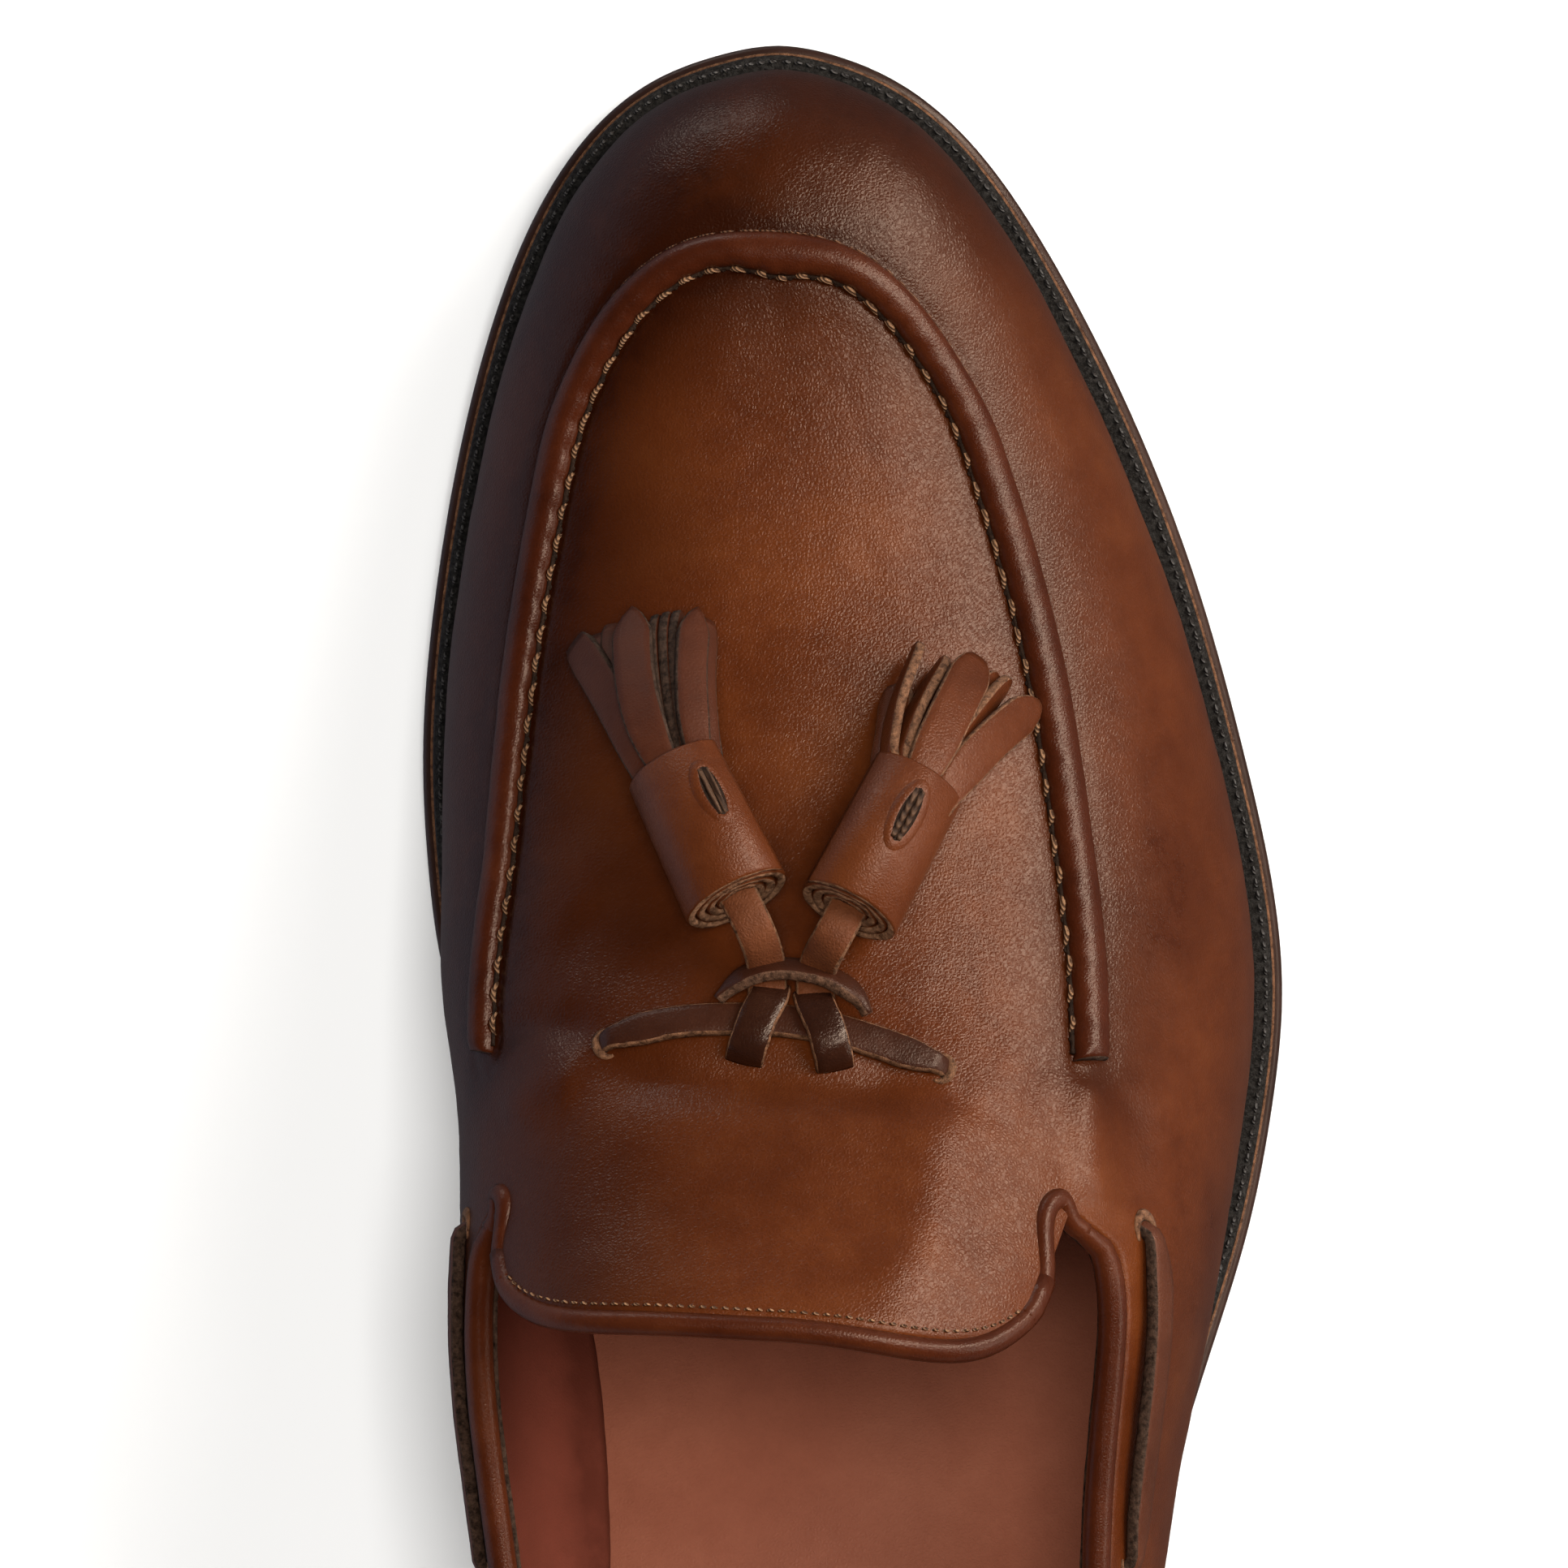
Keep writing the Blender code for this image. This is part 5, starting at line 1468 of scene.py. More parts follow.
# The knot over the vamp, in metres, with heights in thicknesses of the lace
KNOT_WRAPS = (
    # top's x, foot's x, top's y
    (-0.0071, -0.0099, 0.0294),
    (-0.0017, 0.0007, 0.0286),
)
WRAP_LINE = (
    # share from top to foot, y from the top's, height
    (-0.10, 0.0012, 0.90),
    (0.00, -0.0002, 1.35),
    (0.35, -0.0022, 1.55),
    (0.75, -0.0048, 1.45),
    (0.98, -0.0063, 0.90),
    (1.06, -0.0070, -0.10),
)
KNOT_LOOP = (
    # x, y, height
    (-0.0132, 0.0290, 0.9),
    (-0.0102, 0.0312, 1.7),
    (-0.0049, 0.0320, 2.3),
    (0.0006, 0.0308, 2.0),
    (0.0036, 0.0288, 1.4),
    (0.0046, 0.0272, 1.0),
)
LOOP_TILT = 1.10
STRAP_FEET = (
    # x, y
    (-0.0073, 0.0318),
    (-0.0015, 0.0314),
)
STRAP_WIDTH = 0.0047
STRAP_THICKNESS = 0.0014


def build_knot(heads):
    """The knot on the bar: two wraps, the loop over them and a strap to each tassel's head."""
    over = LACE_THICKNESS
    parts = Parts()
    for top, foot, y in KNOT_WRAPS:
        places = [(top + (foot - top) * share, y + step, over * height) for share, step, height in WRAP_LINE]
        centres, ups = plan_line(places, 30)
        sweep_flat(parts, centres, ups, flat_section(LACE_WIDTH * 1.02, over * 0.7, crown=over * 0.12))
    surfaces = [LEATHER["knot_leather"], EDGE["tan_raw_edge"]]
    parts.make("knot_wraps", surfaces, replaces=["lace_knot"], slot="lace_leather")

    def outline(share):
        """The loop's section, narrower towards its ends."""
        width = LACE_WIDTH * (0.76 - 0.50 * (1 - ease(min(share, 1 - share) / 0.22)))
        return flat_section(width, over * 0.9, crown=over * 0.1)

    parts = Parts()
    centres, ups = plan_line([(x, y, over * height) for x, y, height in KNOT_LOOP], 46)
    sweep_flat(parts, centres, [(up + Vector((0, LOOP_TILT, 0))).normalized() for up in ups], outline)
    surfaces = [LEATHER["lace_leather_dark"], EDGE["loop_raw_edge"]]
    parts.make("knot_loop", surfaces, slot="lace_leather")

    parts = Parts()
    for (x, y), (near, axis, above) in zip(STRAP_FEET, heads):
        foot, normal = drop(x, y)
        line = [
            drop(x, y - 0.0028)[0] + normal * over * 0.9,
            foot + normal * over * 1.35,
            near - axis * 0.0045 + above * 0.0002,
            near + axis * 0.0012 + above * 0.0004,
        ]
        ups = [normal.lerp(above, i / 29).normalized() for i in range(30)]
        sweep_flat(parts, resample(line, 30), ups, flat_section(STRAP_WIDTH, STRAP_THICKNESS, crown=0.0002))
    parts.make("knot_straps", [LEATHER["strap_suede"], EDGE["tan_raw_edge"]], slot="lace_leather")


# The tassels

HEAD_INNER = 0.0016
HEAD_CORE = 0.95 * HEAD_INNER
HEAD_TURNS = 3.6
HEAD_SQUASH = 0.95
HEAD_STEPS = 220
HEAD_LIFT = 0.0007
SHEET_FILL = 0.46
OUTER_END = 62
STRIP_ROOT = 0.0030
ROOT_REACH = 0.86
STRIP_STEPS = 28
STRIP_TIP = 0.86

# Each strip of a fringe: its root in the head's end, in radii of it, its tip on the vamp, how high the tip
# lies over the vamp and the strip's width and sideways bow in metres, its tilt in degrees and its tip's taper
MEDIAL_STRIPS = (
    # beside, over, across, along, lift, width, bow, tilt, taper
    (-0.35, -0.10, -0.245, 0.7540, 0.0006, 0.0042, 0.0000, 15, 0.5),
    (-0.50, 0.10, -0.258, 0.7495, 0.0012, 0.0044, 0.0000, 10, 0.4),
    (0.05, 0.30, -0.192, 0.7569, 0.0020, 0.0034, 0.0004, 62, 0.4),
    (0.20, 0.35, -0.180, 0.7580, 0.0021, 0.0034, 0.0005, 66, 0.4),
    (0.34, 0.35, -0.168, 0.7586, 0.0020, 0.0034, 0.0006, 68, 0.4),
    (0.78, 0.25, -0.136, 0.7556, 0.0008, 0.0036, 0.0007, 32, 0.4),
    (-0.66, 0.42, -0.283, 0.7468, 0.0020, 0.0048, 0.0003, -16, 0.15),
    (0.55, 0.66, -0.1475, 0.7607, 0.0036, 0.0040, 0.0008, 16, 0.75),
    (-0.20, 0.78, -0.219, 0.7607, 0.0038, 0.0050, -0.0006, -4, 0.75),
)
LATERAL_STRIPS = (
    # beside, over, across, along, lift, width, bow, tilt, taper
    (-0.62, 0.05, 0.078, 0.7288, 0.0006, 0.0046, -0.0006, -30, 0.4),
    (0.30, 0.15, 0.190, 0.7330, 0.0008, 0.0040, 0.0000, 35, 0.4),
    (0.40, 0.35, 0.203, 0.7310, 0.0016, 0.0036, 0.0000, 62, 0.4),
    (-0.40, 0.52, 0.131, 0.7390, 0.0024, 0.0036, -0.0013, -66, 0.3),
    (-0.55, 0.50, 0.102, 0.7447, 0.0030, 0.0038, -0.0020, -72, 0.3),
    (0.72, 0.48, 0.237, 0.7214, 0.0018, 0.0050, 0.0004, 14, 0.55),
    (0.08, 0.80, 0.169, 0.7400, 0.0038, 0.0054, -0.0002, 4, 0.40),
)

# The cut in each head with its thread: how far round from the top in degrees, and where it
# starts and ends as shares of the head's length
HEAD_CUTS = {"tassel_medial": (23, 0.44, 0.80), "tassel_lateral": (9, 0.44, 0.84)}
CUT_LIP = (
    # share of the cut's half length, half width, lift over the head
    (1.35, 0.0021, -0.0003),
    (1.16, 0.0015, 0.00022),
    (1.0, 0.0010, 0.00012),
)
# The floor of the cut, dark with painted shade: share of the cut's half length, half width, lift over the
# head
CUT_FLOOR = (
    (0.9, 0.0008, 0.00002),
    (0.05, 0.00005, 0.00002),
)
CUT_THREAD_ASIDE = 0.00038
CUT_THREAD_RADIUS = 0.00036

# The girth of each head at its two ends, in radii
HEAD_FLARE = {"tassel_medial": (1.24, 1.10), "tassel_lateral": (1.16, 1.10)}

# The ends of the rolled sheet, across its thickness: where, in half thicknesses, and how far it falls in
SHEET_END = ((-1, 0.0003), (-0.6, 0.0), (0.6, 0.0), (1, 0.0003))
HEAD_SLOTS = [1, 1, 0, 0, 0, 0, 1, 0, 0, 0]
# The medial fringe has the darker copy and a dark edge: painted shade of the medial side.
FRINGE_SURFACES = {
    "tassel_medial": [LEATHER["shaded_fringe_leather"], EDGE["dark_raw_edge"]],
    "tassel_lateral": [LEATHER["tassel_leather"], EDGE["tan_raw_edge"]],
}


def head_ends(across, along, lean):
    """The ends of a tassel head's middle line, seated on the vamp."""
    start = plan_place(across, along)
    shares = (0, 0.25, 0.5, 0.75, 1)
    places = [start + heading(lean) * TASSEL_HEAD_LENGTH * share for share in shares]
    ground = [drop(*place)[0].z for place in places]
    chord = [ground[0] + (ground[-1] - ground[0]) * share for share in shares]
    lift = TASSEL_HEAD_DIAMETER / 2 * TASSEL_SEAT + max(need - level for need, level in zip(ground, chord))
    return [places[end].to_3d() + Vector((0, 0, ground[end] + lift + HEAD_LIFT)) for end in (0, -1)]


def build_tassel(row, strips):
    """A head rolled from a strip of leather, with cut strips fanning from it over the vamp."""
    name, across, along, lean = row
    near, far = head_ends(across, along, lean)
    axis = (far - near).normalized()
    beside = axis.cross(Vector((0, 0, 1))).normalized()
    over = beside.cross(axis).normalized()
    build_head(name, near, far, axis, beside, over, -1 if lean < 0 else 1)
    build_fringe(name, far, axis, beside, over, strips)
    return near, axis, over


def strip_section(width, taper):
    """The section of a fringe's strip along its length: it widens from the root and tapers at the tip."""

    def outline(share):
        """The section at a share of the strip's length."""
        tip = max((share - STRIP_TIP) / (1 - STRIP_TIP), 0.0)
        rounding = max((share - 0.97) / 0.03, 0.0)
        here = width * (0.74 + 0.26 * ease(share / 0.4)) * (1 - taper * tip**1.4 - 0.12 * rounding)
        return flat_section(here, TASSEL_STRIP_THICKNESS * 0.92, crown=0.00012)

    return outline


def build_fringe(name, far, axis, beside, over, strips):
    """The strips of a tassel, each curved from the head's end down to its tip on the vamp."""
    parts = Parts()
    radius = TASSEL_HEAD_DIAMETER / 2
    for side_share, over_share, across, along, tip_lift, width, bow, tilt, taper in strips:
        root = far + (beside * side_share + over * over_share) * radius * ROOT_REACH - axis * STRIP_ROOT
        tip = drop(*plan_place(across, along))[0] + Vector((0, 0, tip_lift))
        run = tip - root
        bend = root + axis * run.length * 0.42
        sideways = Vector((run.y, -run.x, 0)).normalized()
        centres, ups = [], []
        for i in range(STRIP_STEPS + 1):
            share = i / STRIP_STEPS
            centre = root.lerp(bend, share).lerp(bend.lerp(tip, share), share)
            centre = centre + sideways * bow * math.sin(math.pi * share)
            ground, normal = drop(centre.x, centre.y)
            centre.z = max(centre.z, ground.z + TASSEL_STRIP_THICKNESS * 0.5 + tip_lift * 0.5)
            turn = math.radians(tilt) * ease(share / 0.25)
            up = normal.lerp(Vector((0, 0, 1)), 0.4).normalized()
            centres.append(centre)
            ups.append((up * math.cos(turn) + sideways * math.sin(turn)).normalized())
        sweep_flat(parts, centres, ups, strip_section(width, taper))
    parts.make(name + "_fringe", FRINGE_SURFACES[name], slot="burnished_leather")


def rolled_sheet(name, near, far, axis, outward, handed):
    """Rings across the sheet of a head, from its inner end to its outer one."""
    radius = TASSEL_HEAD_DIAMETER / 2
    near_size, far_size = HEAD_FLARE[name]
    half = (radius - HEAD_INNER) / HEAD_TURNS * SHEET_FILL
    outer_end = math.radians(90 + handed * OUTER_END)
    waist = near.lerp(far, 0.5)
    rows = []
    for i in range(HEAD_STEPS + 1):
        share = i / HEAD_STEPS
        turn = outer_end - handed * 2 * math.pi * HEAD_TURNS * (1 - share)
        out = outward(turn)
        middle = HEAD_INNER + (radius - half - HEAD_INNER) * share
        thin = half * (0.30 + 0.70 * ease((1 - share) * 40))
        dent = 0.00012 * noise.noise(Vector((math.cos(turn) * 2, math.sin(turn) * 2, share * 2 + handed)))
        recess = 0.0003 * (1 - share)
        girth = middle * (near_size + far_size) / 2
        row = []
        for spread, step in SHEET_END:
            wave = 0.00016 * noise.noise(Vector((share * 60, spread, handed)))
            end = near + axis * (step + wave + recess)
            row.append(end + out * (middle * near_size + spread * thin + dent))
        row.append(waist + out * (girth + thin + dent))
        for spread, step in reversed(SHEET_END):
            row.append(far - axis * step + out * (middle * far_size + spread * thin + dent))
        row.append(waist + out * (girth - thin + dent))
        rows.append(row)
    return rows


def build_head(name, near, far, axis, beside, over, handed):
    """A tassel's head: leather rolled up on itself, with a thread through a cut on top."""

    def outward(turn):
        """The way out from the head's axis at a turn round it."""
        return beside * math.cos(turn) + over * math.sin(turn) * HEAD_SQUASH

    parts = Parts()
    rows = rolled_sheet(name, near, far, axis, outward, handed)
    parts.grid(rows, wrap_columns=True, caps=True, slots=HEAD_SLOTS, cap_slot=1)
    # The core inside the roll, dark with painted shade
    wide, high = beside * HEAD_CORE, over * HEAD_SQUASH * HEAD_CORE
    core = [ellipse(near.lerp(far, share), wide, high, 12) for share in (0.06, 0.5, 0.94)]
    parts.grid(core, wrap_columns=True, caps=True, slots=[2], cap_slot=2)

    degrees, start, end = HEAD_CUTS[name]
    near_size, far_size = HEAD_FLARE[name]
    cut_middle, half_length = (start + end) / 2, (end - start) / 2 * (far - near).length
    cut_turn = math.radians(90 - degrees)
    centre = near.lerp(far, cut_middle)
    radius = TASSEL_HEAD_DIAMETER / 2
    girth = radius * (near_size + (far_size - near_size) * cut_middle)

    def on_head(along, aside, lift):
        """A point over the head's face, measured from the middle of the cut."""
        return centre + axis * along + outward(cut_turn - aside / radius) * (girth + lift)

    def oval(length, width, lift):
        """A ring round the middle of the cut."""
        turns = [2 * math.pi * i / 24 for i in range(24)]
        reach = half_length * length
        return [on_head(reach * math.cos(turn), width * math.sin(turn), lift) for turn in turns]

    lip = [oval(*ring) for ring in CUT_LIP]
    parts.grid(lip, wrap_columns=True)
    # The cut's floor, dark with painted shade
    parts.grid([lip[-1]] + [oval(*ring) for ring in CUT_FLOOR], wrap_columns=True, slots=[2])
    surfaces = [LEATHER["tassel_leather"], EDGE["rolled_edge"], EDGE["painted_hole_shade"]]
    parts.make(name + "_head", surfaces, replaces=[name], slot="burnished_leather")

    threads = Parts()
    for aside in (-CUT_THREAD_ASIDE, CUT_THREAD_ASIDE):
        centres = []
        for i in range(13):
            lift = 0.00020 * math.sin(math.pi * i / 12) - 0.0001
            centres.append(on_head(half_length * (i / 6 - 1) * 0.92, aside, lift))
        sweep(threads, centres, [outward(cut_turn)] * 13, round_section(CUT_THREAD_RADIUS, 10))
    threads.make(name + "_thread", [THREAD["dark_thread"]], slot="lace_leather")


# The sole

WELT_BASE = OUTSOLE_THICKNESS + PART_GAP / 2
WELT_TOP = WELT_BASE + WELT_THICKNESS
WELT_STITCH_PITCH = 0.0016
WELT_STITCH_INSET = 0.00085
WELT_STITCH_RADIUS = 0.00021
SOCK_TOP = OUTSOLE_THICKNESS + INSOLE_THICKNESS
HEEL_LIFTS = 3
LIFT_GROOVE = 0.00035
LIFT_PROFILE = ((0.04, LIFT_GROOVE), (0.12, 0.0), (0.88, 0.0), (0.96, LIFT_GROOVE))


def edge_places(side, station, profile):
    """A profile's points at a station, with their levels. Insets are metres or functions of the edge."""
    arc = arc_at(side, station)
    insets = [inset(side, arc) if callable(inset) else inset for inset, _ in profile]
    return [(edge_point(side, arc, inset), level) for inset, (_, level) in zip(insets, profile)]


def breast_hollow(stations, station):
    """How far the heel's breast is hollowed at a station, in metres."""
    return HEEL_BREAST_HOLLOW * ease((station - stations[0]) / (stations[-1] - stations[0])) ** 4


def bowed(y, share, hollow):
    """A place on a line across the heel, bowed back in its middle."""
    return y - hollow * (1 - (2 * share - 1) ** 2)


def loop_rows(stations, profile, height=None, inner_steps=8, hollowed=False):
    """Rows of closed loops across the sole: profile is the edge from top to foot, as (inset, level)."""

    def lay(point, share, level, hollow):
        """A point of a loop, with its level measured from the sole's curved underside if height is given."""
        y = bowed(point.y, share, hollow)
        return point.x, y, height(y) + level if height else level

    rows = []
    for station in stations:
        hollow = breast_hollow(stations, station) if hollowed else 0.0
        left, right = [edge_places(side, station, profile) for side in (-1, 1)]
        row = []
        for i in range(inner_steps):
            share = i / inner_steps
            row.append(lay(left[0][0].lerp(right[0][0], share), share, profile[0][1], hollow))
        row += [lay(point, 1.0, level, hollow) for point, level in right]
        for i in range(1, inner_steps):
            share = 1 - i / inner_steps
            row.append(lay(left[-1][0].lerp(right[-1][0], share), share, profile[-1][1], hollow))
        row += [lay(point, 0.0, level, hollow) for point, level in reversed(left[1:])]
        rows.append(row)
    return rows


def edge_profile(top, foot, inset, soft, taper=0.0):
    """A rounded edge from top to foot as (inset, level)."""
    return [
        (inset + soft, top),
        (inset + soft * 0.3, top - soft * 0.3),
        (inset, top - soft),
        (inset + taper / 2, (top + foot) / 2),
        (inset + taper, foot + soft),
        (inset + taper + soft * 0.3, foot + soft * 0.3),
        (inset + taper + soft, foot),
    ]


def loop_piece(name, rows, surface, slot, nodes=(), **closing):
    """A piece of the sole from rows of closed loops."""
    parts = Parts()
    parts.grid(rows, wrap_columns=True, **closing)
    parts.make(name, [surface], replaces=nodes, slot=slot)


def ring_piece(name, stations, profile, surface, slot, nodes=()):
    """A ring round the sole: profile is its closed cross-section as (inset, level)."""
    around = [(-1, station) for station in stations] + [(1, station) for station in stations[-2:0:-1]]
    rows = []
    for side, station in around:
        places = edge_places(side, station, profile)
        rows.append([(point.x, point.y, sole_bottom(point.y) + level) for point, level in places])
    loop_piece(name, rows, surface, slot, nodes, wrap_rows=True)


def build_welt(stations):
    """The waxed welt, the tan line between it and the outsole, and its stitches."""
    lip = OUTSOLE_LIP
    profile = [
        (feather_offset(WELT_SEAT), WELT_TOP - 0.0004),
        (feather_offset(0.0010), WELT_TOP + 0.0001),
        (feather_offset(-0.0008), WELT_TOP + 0.00005),
        (lip + 0.0007, WELT_TOP),
        (lip + 0.0002, WELT_TOP - 0.0003),
        (lip, WELT_TOP - 0.0008),
        (lip, WELT_BASE),
        (feather_offset(WELT_SEAT), WELT_BASE),
    ]
    ring_piece("waxed_welt_ring", stations, profile, WELT_LEATHER, "edge_black", ["welt"])
    line = [
        (lip - 0.00035, WELT_BASE + 0.00055),
        (lip - 0.00035, WELT_BASE),
        (lip + 0.0004, WELT_BASE),
        (lip + 0.0004, WELT_BASE + 0.0007),
    ]
    ring_piece("welt_tan_line", stations, line, EDGE["tan_raw_edge"], "insole_tan")

    stitches = Parts()
    for side in (-1, 1):
        arc, last = 0.0, arc_at(side, 3)
        while arc < last - WELT_STITCH_PITCH:
            ends = []
            for reach in (0.12, 0.88):
                point = edge_point(side, arc + WELT_STITCH_PITCH * reach, OUTSOLE_LIP + WELT_STITCH_INSET)
                ends.append(Vector((point.x, point.y, sole_bottom(point.y) + WELT_TOP)))
            stitch(stitches, *ends, Vector((0, 0, 1)), WELT_STITCH_RADIUS)
            arc += WELT_STITCH_PITCH
    stitches.make("welt_stitches", [THREAD["welt_thread"]], slot="edge_black")


def lining_offset(distance):
    """An inset measured inwards from the lining at the sock's height."""
    clear = SOCK_TOP - WELT_THICKNESS - OUTSOLE_THICKNESS - 2 * PART_GAP

    def inset(side, arc):
        """The inset from the sole's edge at an arc along it."""
        along = edge_point(side, arc, 0).y / SHOE_LENGTH + 0.5
        bulge = wall_value(1, side, along) * ARCH_OVERHANG
        wide = wall_value(2, side, along) * INSTEP_HEIGHT
        return feather_inset(side, arc) + UPPER_WALL + distance - bulge * (1 - (1 - clear / wide) ** 2)

    return inset


def build_sock(stations):
    """The sock over the insole, up to the lining all round."""
    inside = feather_offset(WELT_SEAT + PART_GAP)
    profile = [
        (lining_offset(0.0010), SOCK_TOP),
        (lining_offset(0.0001), SOCK_TOP - 0.0003),
        (lining_offset(-0.0003), SOCK_TOP - 0.0009),
        (feather_offset(UPPER_WALL + PART_GAP), WELT_TOP + PART_GAP),
        (inside, WELT_TOP + PART_GAP),
        (inside, OUTSOLE_THICKNESS + PART_GAP),
    ]
    rows = loop_rows(stations, profile, sole_bottom, 16)
    loop_piece("sock", rows, LEATHER["sock_leather"], "insole_tan", ["insole"])


def build_sole():
    """Outsole, welt, sock, stacked heel and top lift."""
    stations = sole_stations(0, 1, 50)[:-1] + sole_stations(1, 2, 110)[:-1] + sole_stations(2, 3, 60)
    rows = loop_rows(stations, edge_profile(OUTSOLE_THICKNESS, 0.0, 0.0, 0.0009), sole_bottom)
    loop_piece("sole_leather_outsole", rows, LEATHER["sole_edge"], "sole_leather", ["outsole"])
    build_welt(stations)
    build_sock(stations)

    heel = sole_stations(0, 1, 50)[:-1] + sole_stations(1, station_at(HEEL_BREAST), 24)
    profile = edge_profile(TOP_LIFT_THICKNESS, 0.0, HEEL_INSET + HEEL_TAPER, 0.0005)
    rows = loop_rows(heel, profile, inner_steps=10, hollowed=True)
    loop_piece("rubber_top_lift", rows, TOP_LIFT_RUBBER, "rubber_black", ["heel_top_lift"], caps=True)
    build_heel_stack(heel)


def heel_column(side, station):
    """The heel's wall at a station from top to foot, with a groove where two lifts meet."""
    arc = arc_at(side, station)
    foot = TOP_LIFT_THICKNESS + PART_GAP / 2
    ceiling = sole_bottom(edge_point(side, arc, HEEL_INSET).y) - PART_GAP / 2
    column = []
    for i in range(HEEL_LIFTS):
        for share, groove in LIFT_PROFILE:
            level = 1 - (i + share) / HEEL_LIFTS
            point = edge_point(side, arc, HEEL_INSET + HEEL_TAPER * (1 - level) + groove)
            column.append((point, foot + (ceiling - foot) * level))
    return column


def build_heel_stack(stations):
    """The leather lifts between outsole and top lift, with fine grooves where they meet."""
    rows = []
    for station in stations:
        hollow = breast_hollow(stations, station)
        walls = [heel_column(1, station), heel_column(-1, station)[::-1]]
        row = []
        for wall, opposite, on_top in ((walls[0], walls[1], False), (walls[1], walls[0], True)):
            row += [(point.x, point.y, level) for point, level in wall]
            for i in range(1, 10):
                point = wall[-1][0].lerp(opposite[0][0], i / 10)
                y = bowed(point.y, i / 10, hollow)
                row.append((point.x, y, sole_bottom(y) - PART_GAP / 2 if on_top else wall[-1][1]))
        rows.append(row)
    loop_piece("stacked_heel", rows, HEEL_LEATHER, "edge_black", ["heel_stack"], caps=True)


# Floor, camera and light

CAMERA_PLACE = (-0.00857, 0.0557, 2.0)
FRAME_WIDTH = 0.19614
SENSOR_WIDTH = 36
FLOOR_REACH = 3.0
FLOOR_COLOUR = (0.97, 0.97, 0.97, 1.0)
LAMP_AIM = (0.0, 0.04, 0.03)
WORLD_STRENGTH = 1.0
WORLD_RAMP = (
    (0.0, (0.22, 0.22, 0.25)),
    (0.40, (0.42, 0.42, 0.47)),
    (0.55, (0.60, 0.61, 0.66)),
    (0.64, (0.17, 0.17, 0.18)),
    (0.72, (0.07, 0.07, 0.07)),
    (0.85, (0.02, 0.02, 0.02)),
)
WORLD_SIDES = (
    (0.0, (0.55, 0.55, 0.62)),
    (0.5, (0.34, 0.28, 0.24)),
    (1.0, (0.30, 0.23, 0.18)),
)
LIGHTS = (
    # name, place, size, power, colour, lights the surfaces, seen in reflections
    ("key", (1.05, 0.65, 1.10), (0.90, 0.90), 27.0, (1.0, 0.97, 0.93), True, False),
    ("ceiling", (0.00, 0.12, 2.60), (1.00, 1.00), 66.0, (1.0, 0.99, 0.97), True, False),
    ("outer_fill", (1.50, 0.10, 0.45), (0.80, 0.60), 21.0, (1.0, 0.96, 0.92), True, False),
    ("sheen", (0.75, 0.68, 0.84), (0.18, 1.40), 11.0, (1.0, 0.78, 0.60), False, True),
    ("outer_sheen", (1.40, 0.10, 0.60), (0.80, 0.40), 2.6, (1.0, 0.80, 0.62), False, True),
    ("toe_sheen", (-0.42, 1.30, 0.12), (0.60, 0.16), 1.2, (1.0, 0.90, 0.80), False, True),
)


def place_new(name, data, place=(0, 0, 0)):
    """A new object of the scene with its data."""
    thing = bpy.data.objects.new(name, data)
    thing.location = place
    bpy.context.collection.objects.link(thing)
    return thing


def build_floor():
    """A pale floor, which lights the shoe but isn't seen in its gloss."""
    mesh = bpy.data.meshes.new("floor")
    corners = [(x * FLOOR_REACH, y * FLOOR_REACH, 0) for x, y in ((-1, -1), (1, -1), (1, 1), (-1, 1))]
    mesh.from_pydata(corners, [], [(0, 1, 2, 3)])
    paper, _, shader = new_material("pale_paper")
    shader.inputs["Base Color"].default_value = FLOOR_COLOUR
    shader.inputs["Roughness"].default_value = 0.9
    mesh.materials.append(paper)
    floor = place_new("floor", mesh)
    floor.visible_glossy = False


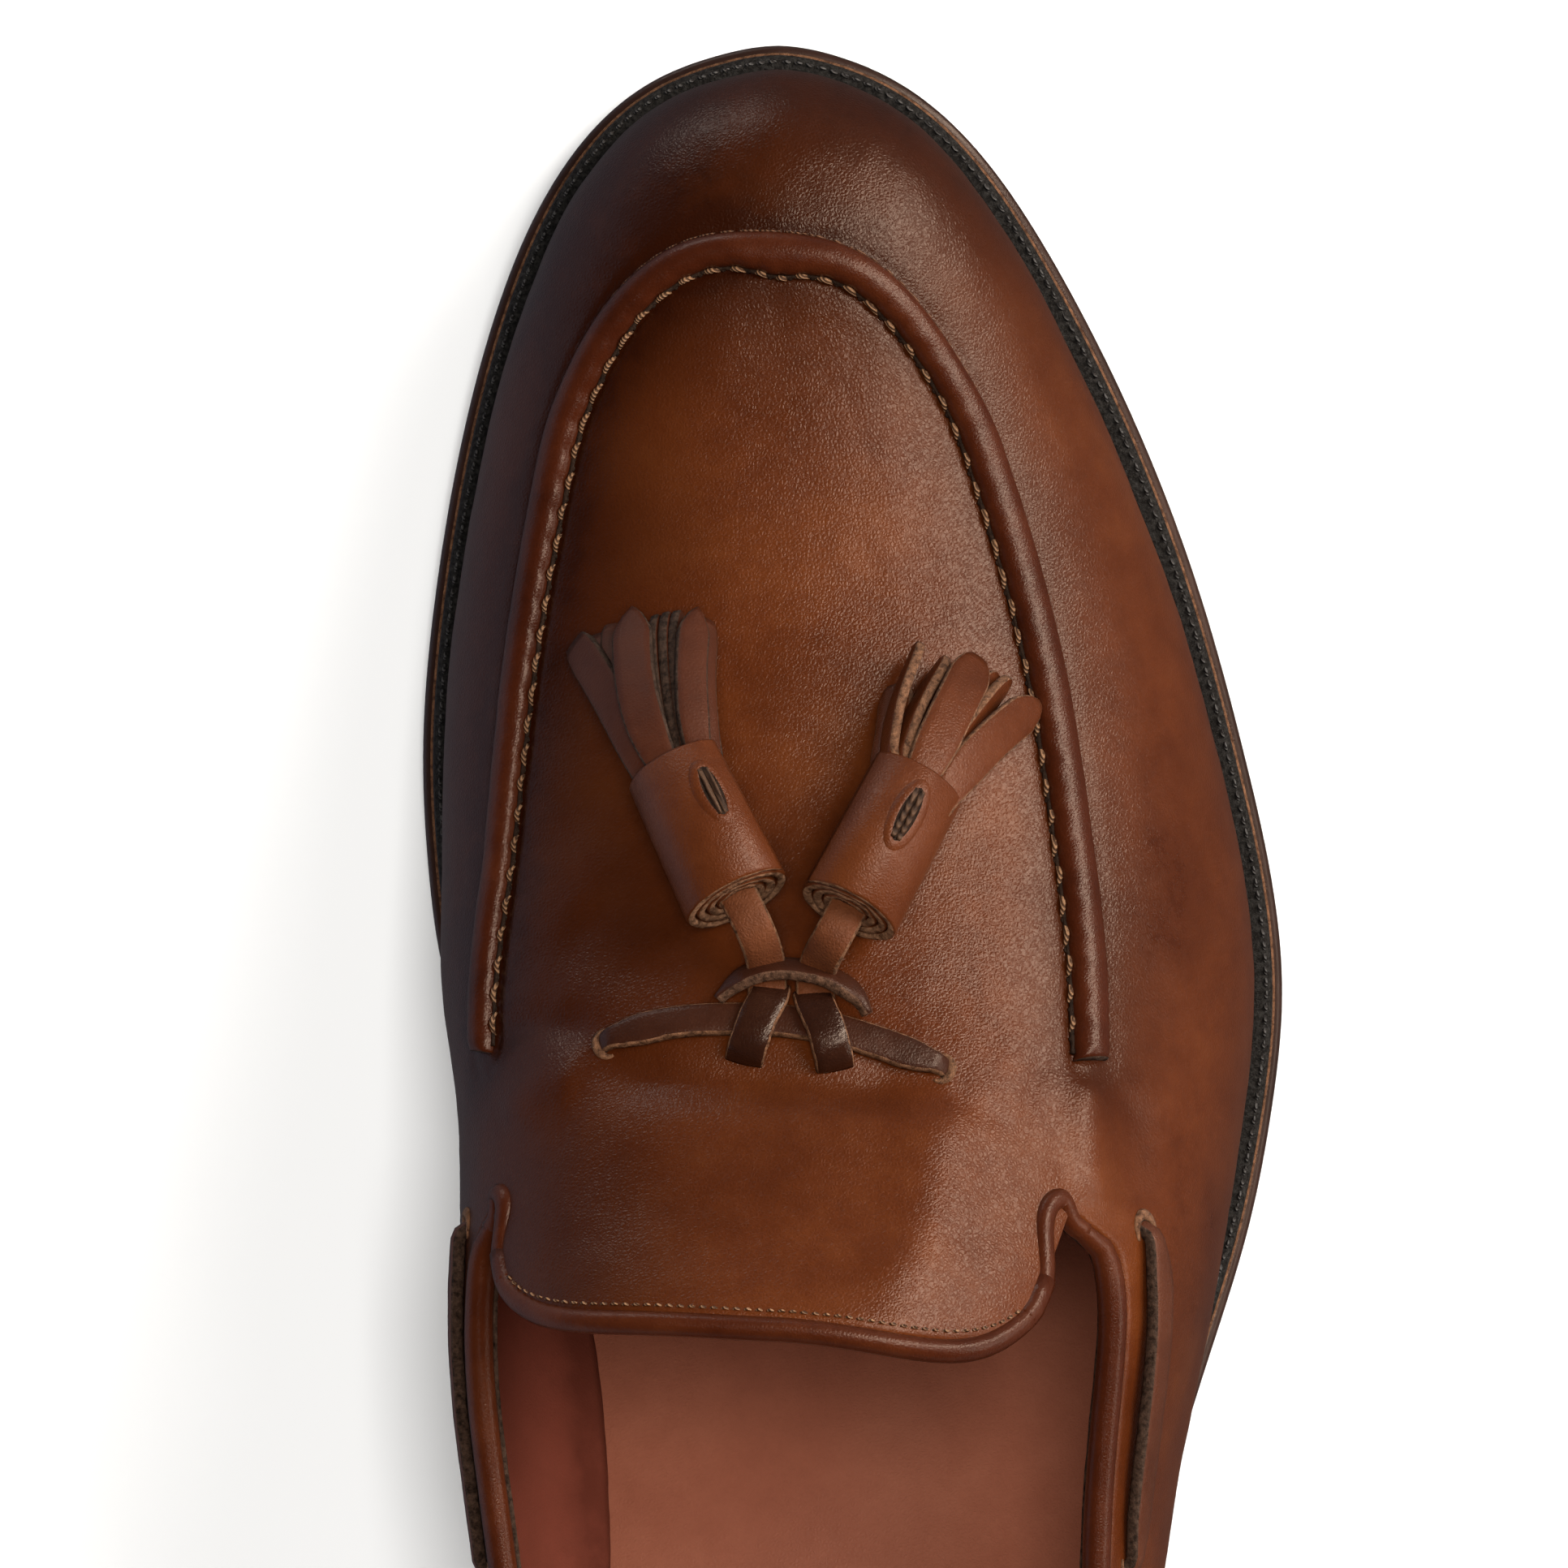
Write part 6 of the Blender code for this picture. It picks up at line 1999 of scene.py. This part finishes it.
def build_camera():
    """A camera straight above, framed as the photo."""
    data = bpy.data.cameras.new("camera")
    data.sensor_width = SENSOR_WIDTH
    data.lens = CAMERA_PLACE[2] * SENSOR_WIDTH / FRAME_WIDTH
    data.clip_end = 20
    bpy.context.scene.camera = place_new("camera", data, CAMERA_PLACE)


def build_lamps():
    """Soft lamps: some light the surfaces, the others are only seen in the gloss."""
    for name, place, size, power, colour, lighting, mirrored in LIGHTS:
        data = bpy.data.lights.new(name, "AREA")
        data.shape = "RECTANGLE"
        data.size, data.size_y = size
        data.energy = power
        data.color = colour
        lamp = place_new(name, data, place)
        lamp.visible_diffuse = lighting
        lamp.visible_glossy = mirrored
        lamp.rotation_mode = "QUATERNION"
        lamp.rotation_quaternion = (Vector(LAMP_AIM) - Vector(place)).to_track_quat("-Z", "Y")


def build_world():
    """A dim room, pale low down and dark overhead, and warmer on the outer side."""
    world = bpy.data.worlds.new("studio")
    world.use_nodes = True
    tree = world.node_tree
    split = add_node(tree, "ShaderNodeSeparateXYZ")
    tree.links.new(add_node(tree, "ShaderNodeTexCoord").outputs["Generated"], split.inputs["Vector"])
    height, across = [
        combine(tree, "MULTIPLY", combine(tree, "ADD", split.outputs[axis], 1.0), 0.5) for axis in ("Z", "X")
    ]
    sky = mix_colour(tree, 1.0, ramp(tree, height, WORLD_RAMP), ramp(tree, across, WORLD_SIDES), "MULTIPLY")
    background = tree.nodes["Background"]
    tree.links.new(sky, background.inputs["Color"])
    background.inputs["Strength"].default_value = WORLD_STRENGTH
    bpy.context.scene.world = world
    bpy.context.scene.view_settings.view_transform = "Standard"


def main():
    """Build every piece of the shoe and the studio."""
    build_upper()
    roll_frames = spaced_frames(roll_path(160), ROLL_STEP, 7)
    build_roll(roll_frames)
    build_roll_stitches(roll_frames)
    build_collar_roll()
    build_notch_folds(build_tongue_roll())
    build_tongue_stitches()
    cuts, lips = build_side_laces()
    heads = [build_tassel(row, strips) for row, strips in zip(TASSELS, (MEDIAL_STRIPS, LATERAL_STRIPS))]
    build_bar(cuts, lips)
    build_knot(heads)
    build_sole()
    build_floor()
    build_camera()
    build_lamps()
    build_world()


main()
